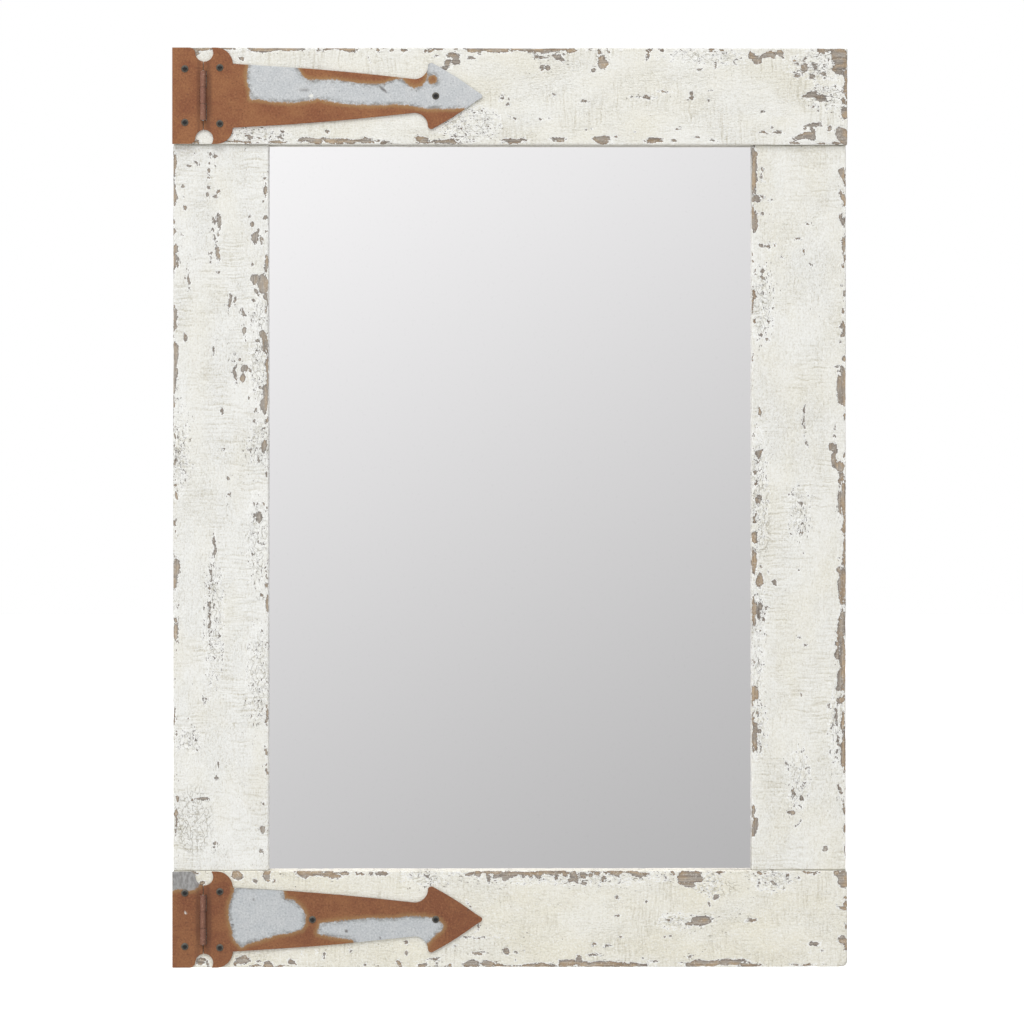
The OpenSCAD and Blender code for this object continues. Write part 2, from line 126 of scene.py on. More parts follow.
class Graph:
    """Nodes of one material or world. Each call adds a node and returns its output socket."""

    def __init__(self, name, kind="materials"):
        self.owner = getattr(bpy.data, kind).new(name)
        self.owner.use_nodes = True
        self.nodes = self.owner.node_tree.nodes
        self.links = self.owner.node_tree.links
        self.shader = self.nodes.get("Principled BSDF")

    def put(self, socket, value):
        if isinstance(value, bpy.types.NodeSocket):
            self.links.new(value, socket)
        elif socket.type == "RGBA":
            socket.default_value = (*value, 1)
        else:
            socket.default_value = value

    def put_all(self, node, inputs):
        for key, value in inputs.items():
            self.put(node.inputs[key], value)

    def node(self, kind, inputs, **settings):
        node = self.nodes.new("ShaderNode" + kind)
        for key, value in settings.items():
            setattr(node, key, value)
        self.put_all(node, inputs)
        return node

    def add(self, kind, inputs, output=0, **settings):
        return self.node(kind, inputs, **settings).outputs[output]

    def attribute(self, name, output="Fac"):
        return self.add("Attribute", {}, output, attribute_name=name)

    def place(self):
        """The piece's own coordinates, in mm."""
        return self.stretch(self.add("TexCoord", {}, "Object"), (1 / MM, 1 / MM, 1 / MM))

    def split(self, vector):
        """The vector's three parts."""
        return self.node("SeparateXYZ", {0: vector}).outputs

    def stretch(self, vector, factors):
        return self.add("VectorMath", {0: vector, 1: factors}, operation="MULTIPLY")

    def math(self, operation, a, b=0.0, clamp=False):
        return self.add("Math", {0: a, 1: b}, operation=operation, use_clamp=clamp)

    def times(self, a, b):
        return self.math("MULTIPLY", a, b)

    def plus(self, *values):
        total = values[0]
        for value in values[1:]:
            total = self.math("ADD", total, value)
        return total

    def weighted(self, *terms):
        """The sum of values, each given with its weight."""
        return self.plus(*[self.times(value, weight) for value, weight in terms])

    def most(self, a, b):
        return self.math("MAXIMUM", a, b)

    def fade(self, value, start, end, low=0.0, high=1.0):
        """Goes smoothly from low, where value is start, to high, where it is end."""
        inputs = {"Value": value, "From Min": start, "From Max": end, "To Min": low, "To Max": high}
        return self.add("MapRange", inputs, interpolation_type="SMOOTHSTEP")

    def noise(self, vector, size, detail=3.0, rough=0.5, output="Fac"):
        """Noise round 0.5 whose bumps are about size mm: one number, or one along each axis."""
        sizes = size if hasattr(size, "__len__") else (size, size, size)
        place = self.stretch(vector, tuple(1 / s for s in sizes))
        inputs = {"Vector": place, "Scale": 1.0, "Detail": detail, "Roughness": rough}
        return self.add("TexNoise", inputs, output)

    def swing(self, *noise):
        """Noise round 0."""
        return self.math("SUBTRACT", self.noise(*noise), 0.5)

    def ragged(self, depth, vector, coarse, fine):
        """A depth in mm, made uneven by coarse and fine noise, each given as its size and its strength."""
        coarse_swing = self.times(self.swing(vector, coarse[0], 4, 0.65), coarse[1])
        fine_swing = self.times(self.swing(vector, fine[0], 3, 0.65), fine[1])
        return self.plus(depth, coarse_swing, fine_swing)

    def mix(self, share, a, b):
        """Colour a where share is 0 and b where it is 1. A plain colour is given as 0 to 255 on screen."""
        a, b = [srgb(*colour) if isinstance(colour, tuple) else colour for colour in (a, b)]
        return self.add("Mix", {0: share, 6: a, 7: b}, 2, data_type="RGBA")

    def layers(self, colour, *layers):
        """A colour with others laid over it, each given with its share."""
        for share, layer in layers:
            colour = self.mix(share, colour, layer)
        return colour

    def seen(self, gloss):
        """1 for rays from the camera, rays through clear things and, as much as gloss says, mirrored rays."""
        path = self.node("LightPath", {}).outputs
        straight = self.most(path["Is Camera Ray"], path["Is Transmission Ray"])
        return self.most(straight, self.times(path["Is Glossy Ray"], gloss))

    def finish(self, colour, roughness, height_mm, metallic=0.0):
        normal = self.add("Bump", {"Height": height_mm, "Distance": MM, "Strength": 1.0})
        inputs = {"Base Color": colour, "Roughness": roughness, "Metallic": metallic, "Normal": normal}
        self.put_all(self.shader, inputs)
        return self.owner


# ---------- Materials ----------

# Radians in each mm of the hardboard's mesh print, the card's flutes and the saw's strokes.
WEAVE = 4.2
FLUTES = 1.0
SAW_STROKES = 1.7
# In front of this y, in mm, a hinge is barrel.
BARREL_MM = FRONT_Y / MM - 2.0


def board_marks(g, board, patches):
    """What the saw, the brush and age have left on a board's face."""
    wander = g.stretch(g.noise(board, (30, 18, 18), 2, 0.5, "Color"), (6.0, 0, 0))
    sawn = g.add("VectorMath", {0: board, 1: wander}, operation="ADD")
    saw = g.noise(sawn, (2.0, 22, 20), 2, 0.6)
    saw_where = g.fade(g.noise(board, (55, 45, 40), 1), 0.42, 0.62, low=0.15)
    strokes = g.plus(g.times(g.split(sawn)[0], SAW_STROKES), g.times(g.noise(board, (40, 14, 14), 2), 7.0))
    lines = g.plus(g.fade(saw, 0.5, 0.7), g.fade(g.math("SINE", strokes), 0.1, 1.0, high=0.3))
    peel = g.noise(board, (3.0, 1.8, 1.8), 3, 0.7)
    peel_where = g.fade(g.noise(board, (45, 28, 30), 2), 0.4, 0.65, low=0.4)
    thin = g.most(g.attribute("thin"), g.fade(patches, 0.52, 0.7, high=0.25))
    crackle = g.math("ABSOLUTE", g.swing(board, (6.5, 4.2, 5), 2, 0.5))
    return {
        "saw": g.times(saw, saw_where),
        "lines": g.times(lines, saw_where),
        "peel": g.times(peel, peel_where),
        "dimples": g.times(g.fade(peel, 0.5, 0.68), peel_where),
        "cracks": g.times(g.fade(crackle, 0.03, 0.006), thin),
        "fibre": g.noise(board, (10, 1.8, 1.8), 3, 0.65),
        "mottle": g.noise(board, (10, 6, 8), 3, 0.6),
        "grit": g.noise(board, 1.6, 2, 0.7),
    }


def paint_tones(g, board, ragged, marks):
    """White paint: yellower where "aged", dirty marks, painted highlight round chips, painted shade on sides.
    """
    cloud = g.fade(g.noise(board, (60, 34, 30), 3), 0.3, 0.75, -0.25, 0.35)
    tint = g.math("ADD", g.plus(g.attribute("aged"), cloud), 0.0, True)
    mottle = g.fade(marks["mottle"], 0.55, 0.8)
    fibre = g.fade(marks["fibre"], 0.54, 0.7)
    stains = g.weighted((marks["lines"], 0.45), (mottle, 0.1), (marks["dimples"], 0.45), (fibre, 0.3))
    return g.layers(
        g.mix(tint, (242, 242, 238), (235, 231, 215)),
        (stains, (192, 185, 164)),
        (g.times(marks["cracks"], 0.5), (164, 154, 126)),
        (g.fade(marks["grit"], 0.46, 0.3, high=0.3), (188, 181, 162)),
        (g.fade(marks["grit"], 0.52, 0.68, high=0.6), (251, 251, 248)),
        # painted highlight, a bright rim round each chip
        (g.times(g.fade(ragged, 1.0, 0.25), 0.95), (254, 254, 251)),
        # painted shade on the boards' sides
        (g.times(g.attribute("side"), 0.75), (212, 208, 195)),
    )


def wood_tones(g, board, ragged, grit):
    """Bare wood, grey or tan, paler where the paint is clean, with painted shade at the rim of each chip."""
    grain = g.fade(g.noise(board, (30, 0.9, 0.9), 3, 0.6), 0.3, 0.7)
    weathered = g.mix(grain, (128, 119, 110), (180, 171, 160))
    fresh = g.mix(grain, (148, 128, 106), (193, 171, 143))
    which = g.plus(g.noise(board, (14, 5, 7), 3), g.attribute("fresh"))
    return g.layers(
        g.mix(g.fade(which, 0.45, 0.72), weathered, fresh),
        (g.fade(g.attribute("aged"), 0.3, 0.0, high=0.2), (196, 192, 185)),
        # painted shade at the rim of each chip
        (g.fade(ragged, -1.0, -0.1, high=0.5), (98, 87, 80)),
        (g.fade(grit, 0.56, 0.66, high=0.6), (214, 208, 198)),
    )


def whitewashed_wood():
    """Old white paint on rough-sawn wood. The mesh gives "board", the place along, across and into the board
    in mm, "paint", about how far inside the paint a point is in mm, below 0 where the wood is bare, "fresh",
    which is more where bare wood is tan than grey, "aged", how yellow the paint is, and "side",
    "recess_shade" and "thin", 1 for painted shade on edges, next to the glass and in the hinges' gaps, and
    where the paint has crackled."""
    g = Graph("whitewashed_wood")
    board = g.attribute("board", "Vector")
    paint = g.attribute("paint")
    ragged = g.ragged(paint, board, ((7, 4.5, 5), 4.2), ((2.4, 1.4, 1.6), 3.8))
    patches = g.noise(board, (60, 30, 40), 2)
    pit_level = g.plus(g.fade(patches, 0.38, 0.62, 0.76, 0.67), g.fade(paint, 0.8, 3.5, -0.05, 0.02))
    pits = g.math("SUBTRACT", g.noise(board, (3.4, 1.6, 2.0), 3, 0.6), pit_level)
    bare = g.most(g.fade(ragged, 0.18, -0.06), g.fade(pits, 0.0, 0.025))
    marks = board_marks(g, board, patches)

    tones = g.mix(bare, paint_tones(g, board, ragged, marks), wood_tones(g, board, ragged, marks["grit"]))
    # painted shade in recesses: next to the glass, under the top rail, in the right corners and in the
    # hinges' gaps
    colour = g.layers(tones, (g.times(g.attribute("recess_shade"), 0.8), (92, 84, 72)))
    ridges = g.weighted(
        (marks["saw"], -0.5), (marks["peel"], -1.0), (marks["cracks"], -0.4), (marks["fibre"], -0.35)
    )
    height = g.plus(g.times(bare, -0.3), ridges, g.times(marks["mottle"], 0.3))
    return g.finish(colour, g.fade(bare, 0, 1, 0.6, 0.85), height)


def rust_tones(g, place, ragged, cloud, speck):
    """Rust, yellower next to the zinc, pale on the barrel and darker on the lower hinge."""
    fringe = g.times(g.fade(ragged, -5.0, -0.5), g.fade(ragged, 1.2, 0.0))
    barrel = g.fade(g.split(place)[1], BARREL_MM, BARREL_MM - 0.8)
    return g.layers(
        g.mix(g.fade(cloud, 0.3, 0.7), (134, 79, 48), (154, 101, 62)),
        (g.fade(speck, 0.5, 0.68, high=0.5), (174, 122, 80)),
        (g.fade(speck, 0.48, 0.32, high=0.65), (104, 63, 43)),
        (g.times(fringe, 0.7), (168, 132, 86)),
        (g.times(barrel, 0.6), (136, 97, 86)),
        (g.times(barrel, g.fade(speck, 0.55, 0.68, high=0.6)), (184, 148, 134)),
        # darker on the lower hinge
        (g.times(g.attribute("lower_hinge"), 0.16), (44, 22, 12)),
    )


def zinc_tones(g, place, ragged, speck):
    """Spangled zinc, sooty next to the rust and streaked where "dull"."""
    soot = g.times(g.fade(ragged, -1.0, 0.4), g.fade(ragged, 4.5, 0.4))
    smudge = g.times(soot, g.fade(g.noise(place, (5.5, 5.5, 3.0), 4, 0.7), 0.4, 0.6))
    pores = g.noise(place, 2.2, 2, 0.5)
    streaks = g.fade(g.noise(place, (2.6, 2, 5), 4, 0.65), 0.35, 0.65)
    return g.layers(
        g.mix(g.fade(g.noise(place, 9, 3, 0.55), 0.35, 0.68), (192, 195, 197), (200, 202, 203)),
        (g.fade(speck, 0.5, 0.32, high=0.7), (160, 164, 168)),
        (g.fade(speck, 0.52, 0.7, high=0.7), (222, 224, 225)),
        (g.times(smudge, 0.75), (112, 109, 104)),
        (g.fade(pores, 0.7, 0.75, high=0.6), (96, 94, 92)),
        # darker, bluer zinc on the lower hinge
        (g.times(g.attribute("lower_hinge"), 0.1), (120, 130, 136)),
        (g.attribute("dull"), g.mix(streaks, (132, 130, 128), (166, 165, 164))),
    )


def hinge_steel():
    """Rust over zinc. "zinc" is how far inside the bright zinc a point is in mm, below 0 where it has rusted.
    "dull", "dark", "shade" and "fleck" are 1 where the zinc is grey, in a dark scratch, in painted shadow
    beside the barrel and in a drop of white paint, "rim" is 1 on cut edges, and "lower_hinge" is 1 on the
    lower, darker hinge."""
    g = Graph("hinge_steel")
    place = g.place()
    ragged = g.ragged(g.attribute("zinc"), place, (4.0, 3.4), (1.4, 3.4))
    bright = g.fade(ragged, -0.9, 0.9)
    cloud = g.noise(place, (24, 20, 16), 4, 0.6)
    speck = g.noise(place, 1.7, 3, 0.7)
    colour = g.layers(
        g.mix(bright, rust_tones(g, place, ragged, cloud, speck), zinc_tones(g, place, ragged, speck)),
        # painted shadow beside the barrel
        (g.times(g.attribute("shade"), 0.5), (76, 42, 26)),
        (g.times(g.attribute("rim"), 0.9), (46, 34, 28)),
        (g.times(g.attribute("dark"), 0.75), (74, 66, 62)),
        (g.attribute("fleck"), (232, 231, 224)),
    )
    height = g.weighted((speck, g.fade(bright, 0, 1, 0.3, 0.05)), (bright, -0.04), (cloud, 0.2))
    return g.finish(colour, g.fade(bright, 0, 1, 0.84, 0.55), height, g.times(bright, 0.15))


def black_screw():
    """Blackened steel, with a painted sheen on the sloping rim of the head."""
    g = Graph("black_screw")
    cloud = g.noise(g.place(), 1.6, 3, 0.6)
    facing = g.math("ABSOLUTE", g.split(g.add("TexCoord", {}, "Normal"))[1])
    # painted sheen: lighter where the head's face slopes, neither facing forward nor sideways
    ring = g.times(g.fade(facing, 0.3, 0.5), g.fade(facing, 0.92, 0.74))
    black = g.mix(g.fade(cloud, 0.4, 0.7), (22, 22, 22), (46, 45, 43))
    colour = g.mix(g.times(ring, 0.8), black, (98, 94, 84))
    return g.finish(colour, g.fade(cloud, 0.3, 0.7, 0.45, 0.65), g.times(cloud, 0.1), 0.1)


def mirror_silver():
    """Silvered glass with a trace of dust."""
    g = Graph("mirror_silver")
    dust = g.noise(g.place(), 3.0, 3, 0.6)
    colour = g.mix(g.fade(dust, 0.55, 0.85), (251, 250, 251), (248, 247, 248))
    return g.finish(colour, g.fade(dust, 0.4, 0.8, 0.006, 0.012), 0.0, 1.0)


def mirror_paint():
    """Grey backing paint behind the silver."""
    g = Graph("mirror_paint")
    cloud = g.noise(g.place(), 14.0, 4, 0.6)
    colour = g.mix(g.fade(cloud, 0.3, 0.7), (96, 98, 100), (114, 114, 112))
    return g.finish(colour, 0.6, g.times(cloud, 0.05))


def glass_edge():
    """Ground edge of the glass."""
    g = Graph("glass_edge")
    cloud = g.noise(g.place(), 2.0, 3, 0.6)
    return g.finish(g.mix(cloud, (116, 158, 146), (152, 186, 174)), 0.35, g.times(cloud, 0.05))


def packing_card():
    """Brown card with the print of its flutes."""
    g = Graph("packing_card")
    place = g.place()
    fibre = g.noise(place, (2.0, 2.0, 7.0), 4, 0.65)
    flutes = g.math("SINE", g.times(g.split(place)[2], FLUTES))
    colour = g.mix(g.fade(fibre, 0.3, 0.7), (160, 130, 96), (186, 155, 118))
    return g.finish(colour, 0.85, g.weighted((flutes, 0.06), (fibre, 0.05)))


def hardboard():
    """Brown pressed fibre with the print of the mesh it was pressed on."""
    g = Graph("hardboard")
    place = g.place()
    fibre = g.noise(place, (3.0, 3.0, 1.2), 4, 0.65)
    cloud = g.noise(place, 60.0, 3, 0.5)
    colour = g.mix(g.fade(cloud, 0.3, 0.7), (117, 85, 60), (127, 94, 67))
    colour = g.mix(g.fade(fibre, 0.45, 0.75), colour, (150, 116, 86))
    x, _, z = g.split(place)
    weave = g.times(g.math("SINE", g.times(x, WEAVE)), g.math("SINE", g.times(z, WEAVE)))
    return g.finish(colour, 0.8, g.weighted((fibre, 0.15), (weave, 0.07)))


def zinc_steel():
    """Bright plated steel with drawing marks."""
    g = Graph("zinc_steel")
    place = g.place()
    drawn = g.noise(place, (0.5, 0.5, 9.0), 3, 0.6)
    cloud = g.noise(place, 5.0, 3, 0.6)
    colour = g.mix(g.fade(cloud, 0.3, 0.7), (176, 180, 184), (205, 208, 210))
    return g.finish(colour, g.fade(drawn, 0.3, 0.7, 0.26, 0.42), g.times(drawn, 0.02), 0.85)


def bumper_rubber():
    """Soft dark rubber, dusty in patches."""
    g = Graph("bumper_rubber")
    place = g.place()
    grain = g.noise(place, 0.7, 3, 0.7)
    dust = g.noise(place, 6.0, 3, 0.6)
    colour = g.mix(g.fade(dust, 0.45, 0.8), (34, 34, 35), (66, 65, 63))
    return g.finish(colour, g.fade(dust, 0.3, 0.7, 0.72, 0.9), g.times(grain, 0.05))


def dowel_wood():
    """Plain turned beech."""
    g = Graph("dowel_wood")
    grain = g.noise(g.place(), (0.8, 0.8, 22), 4, 0.6)
    colour = g.mix(g.fade(grain, 0.3, 0.7), (186, 152, 112), (214, 184, 144))
    return g.finish(colour, 0.7, g.times(grain, 0.08))


# ---------- Meshes ----------

NOISE_TABLE = 4096
NOISE_PRIMES = (73856093, 19349663, 83492791)
MERGED = 0.005 * MM
FLAT = math.radians(1)


def field(points, size, seed):
    """Smooth noise from -1 to 1 at points, in lumps of about size: one number, or one along each axis."""
    table = np.random.default_rng(seed).random(NOISE_TABLE)
    place = points / np.array(size, float)
    cell = np.floor(place).astype(np.int64)
    part = place - cell
    part = part * part * (3 - 2 * part)
    total = np.zeros(len(points))
    for corner in np.ndindex(2, 2, 2):
        key = np.bitwise_xor.reduce((cell + corner) * NOISE_PRIMES, axis=1)
        total += table[key % NOISE_TABLE] * np.prod(np.where(corner, part, 1 - part), axis=1)
    return 2 * total - 1


def fade(value, start, end):
    """0 at start, 1 at end, and smooth between."""
    share = np.clip((value - start) / (end - start), 0, 1)
    return share * share * (3 - 2 * share)


def new_piece(name, mesh, slot, replaced, *materials):
    """A piece of the frame made from a mesh, standing for the replaced node."""
    obj = add_object(name, mesh)
    for material in materials:
        mesh.materials.append(material)
    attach(obj, "frame")
    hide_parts(replaced)
    return obj


def new_mesh(name, points, faces):
    mesh = bpy.data.meshes.new(name)
    mesh.from_pydata(points, [], faces)
    return mesh


def coordinates(mesh):
    points = np.zeros(len(mesh.vertices) * 3, np.float32)
    mesh.vertices.foreach_get("co", points)
    return points.reshape(-1, 3).astype(float)


def from_middle(points):
    """The x and z of points, in mm from the middle of the frame."""
    return (points[:, 0] - MID_X) / MM, (points[:, 2] - MID_Z) / MM


def store(mesh, name, values):
    """Keeps a number or a vector for each vertex, for the mesh's material."""
    kind = ("FLOAT", "value") if values.ndim == 1 else ("FLOAT_VECTOR", "vector")
    attribute = mesh.attributes.new(name, kind[0], "POINT")
    attribute.data.foreach_set(kind[1], values.astype(np.float32).ravel())


def places(low, high, step, ends):
    """Places from low to high, about step apart, with finer ones at ends from each end."""
    inner_low, inner_high = low + ends[-1], high - ends[-1]
    count = max(1, round((inner_high - inner_low) / step))
    inner = np.linspace(inner_low, inner_high, count + 1)
    return np.concatenate([low + ends[:-1], inner, (high - ends[:-1])[::-1]])


def box_lattice(axes):
    """Points and quads of a box's surface, split at the given places along each axis."""
    counts = [len(axis) for axis in axes]
    quads = []
    for normal in range(3):
        u, v = (normal + 1) % 3, (normal + 2) % 3
        iu, iv = np.meshgrid(np.arange(counts[u] - 1), np.arange(counts[v] - 1), indexing="ij")
        for end in (0, counts[normal] - 1):
            corners = []
            for du, dv in ((0, 0), (1, 0), (1, 1), (0, 1)):
                index = [None] * 3
                index[normal] = np.full(iu.shape, end)
                index[u] = iu + du
                index[v] = iv + dv
                corners.append(np.ravel_multi_index(index, counts).ravel())
            quad = np.stack(corners, -1)
            quads.append(quad if end else quad[:, ::-1])
    keys, flat = np.unique(np.concatenate(quads), return_inverse=True)
    found = np.unravel_index(keys, counts)
    points = np.stack([axis[index] for axis, index in zip(axes, found)], -1)
    return points, flat.reshape(-1, 4).tolist()


def rounded(points, low, high, radius):
    """Points of a box's surface, moved on to the box with its edges rounded."""
    inner = np.clip(points, low + radius[:, None], high - radius[:, None])
    return inner + outward(points, inner) * radius[:, None]


def outward(points, inner):
    """The way, 1 long, from inner points to points."""
    out = points - inner
    return out / np.maximum(np.linalg.norm(out, axis=1, keepdims=True), 1e-9)


def node_copy(name):
    """A node's mesh, opened to be changed, with its doubled points merged."""
    bm = bmesh.new()
    bm.from_mesh(nodes[name].data)
    bmesh.ops.remove_doubles(bm, verts=bm.verts, dist=MERGED)
    return bm


def join_flat_faces(bm):
    bmesh.ops.dissolve_limit(bm, angle_limit=FLAT, verts=bm.verts, edges=bm.edges)


def ease(bm, edges, by):
    bmesh.ops.bevel(bm, geom=edges, offset=by, segments=2, profile=0.5, affect="EDGES", clamp_overlap=True)


def to_mesh(bm, name):
    mesh = bpy.data.meshes.new(name)
    bm.to_mesh(mesh)
    bm.free()
    return mesh


def cut_away(obj, tool):
    """Takes the tool's solid out of obj, and removes the tool."""
    modifier = obj.modifiers.new("cut", "BOOLEAN")
    modifier.operation = "DIFFERENCE"
    modifier.solver = "MANIFOLD"
    modifier.object = tool
    bpy.context.view_layer.update()
    done = bpy.data.meshes.new_from_object(obj.evaluated_get(bpy.context.evaluated_depsgraph_get()))
    obj.modifiers.clear()
    obj.data = done
    bpy.data.objects.remove(tool)


# ---------- Boards ----------

BOARD_STEP_ALONG = 1.6 * MM
BOARD_STEP_ACROSS = 1.4 * MM
BOARD_STEP_DEEP = 2.4 * MM
BOARD_ENDS = np.array([0, 0.3, 0.7, 1.2, 1.9, 2.8]) * MM
GLASS_PLAY = 1.5 * MM
REBATE_OVERCUT = 2 * MM
DOWEL_PLAY = 0.1 * MM
FLUSH = 0.9 * MM

# In mm: the radius of a board's edges and how uneven it is, how much more one corner is worn and how far from
# it, how deep nicks, chips and the face's own lumps go, and how far the nicks reach from an edge.
EDGE_RADIUS = 1.1
EDGE_UNEVEN = 0.6
WORN_CORNER = 3.2
WORN_REACH = (9.0, 2.0)
NICK_DEPTH = 1.3
CHIP_STEP = 0.3
FACE_UNEVEN = 0.12
NICK_REACH = (3.5, 0.0)
# Between these depths of paint a chip's step goes down, in mm.
CHIP_SLOPE = (0.7, -0.5)
# The sizes of their lumps, the share of the nicks' noise that leaves no nick, and the skin that they move.
EDGE_LUMP = 0.02
NICK_LUMP = 0.011
FACE_LUMP = 0.012
FACE_LUMP_ALONG = 0.04
NO_NICK = 0.35
SKIN = 3 * MM

# In mm: the paint's depth at an edge, its growth for each mm from there, and the deepest that counts, on the
# front and on the sides. Then the thin paint of flakes and how slowly it deepens.
PAINT_AT_EDGE = 0.8
PAINT_GROWTH = 0.5
PAINT_MOST = 6.0
PAINT_MOST_SIDE = 0.9
FLAKE_DEPTH = 0.75
FLAKE_SPREAD = 3
# In mm: how far a large chip outgrows its ellipse, how far any chip strays from it and shrinks for each mm
# down the board's side, and the half sizes between which a chip goes from small to large.
CHIP_GROWTH = 0.3
CHIP_STRAY = 1.5
CHIP_FADE = 0.25
CHIP_LARGE = (1.2, 2.7)
STRAY_LUMP = 0.006
STRAY_SEEDS = (11, 12)
# How many mm behind the front the side starts, and how many before it ends the back starts. The back is bare,
# but for paint that ran round the outer edge.
SIDE_START = (0.6, 1.6)
BACK_START = (1.2, 0.2)
BACK_BARE = -3.0
BACK_RUN = 3.4
BACK_RUN_REACH = 5

# What the material is told: how much more tan the wood is at edges and less on the back, and in mm how far
# that reaches from an edge, where thin paint ends and where the sides' painted shade starts behind the front.
# Then the skin in which the back's tone starts.
FRESH_EDGE = 0.16
STALE_BACK = 0.25
FRESH_REACH = (6.0, 1.0)
THIN_EDGE = (2.0, -3.0)
SIDE_SHADE_START = (0.1, 1.3)
BACK_SKIN = 1.5 * MM
# Its noise is this many mm apart from board to board.
BOARD_APART = 317.0

# Painted shade: how far it comes forward from the glass and down from the top of the opening, and the places
# of the gaps beside the hinges' barrels, above and below the middle, with half their height and width.
RECESS_SHADE_DEPTH = 4 * MM
RECESS_SHADE_TOP = 8 * MM
# Where the painted shade in the right corners starts and is full, as shares of the opening's half width and
# height.
RECESS_SHADE_CORNER_X = (0.8, 0.95)
RECESS_SHADE_CORNER_Z = (0.7, 0.95)
HINGE_GAP_X = -0.2775
HINGE_GAP_Z = 0.372
HINGE_GAP_TALL = 30 * MM
HINGE_GAP_WIDE = 3 * MM

# Each board's long axis, its seed, how yellow its paint is, and how much painted shade darkens its edges,
# next to the glass and outside.
BOARDS = {
    "top_rail": (0, 1, 0.4, (1.0, 1.0)),
    "bottom_rail": (0, 2, 0.75, (0.75, 0.9)),
    "left_stile": (2, 3, 0.05, (0.0, 1.0)),
    "right_stile": (2, 4, 0.35, (0.0, 1.0)),
}

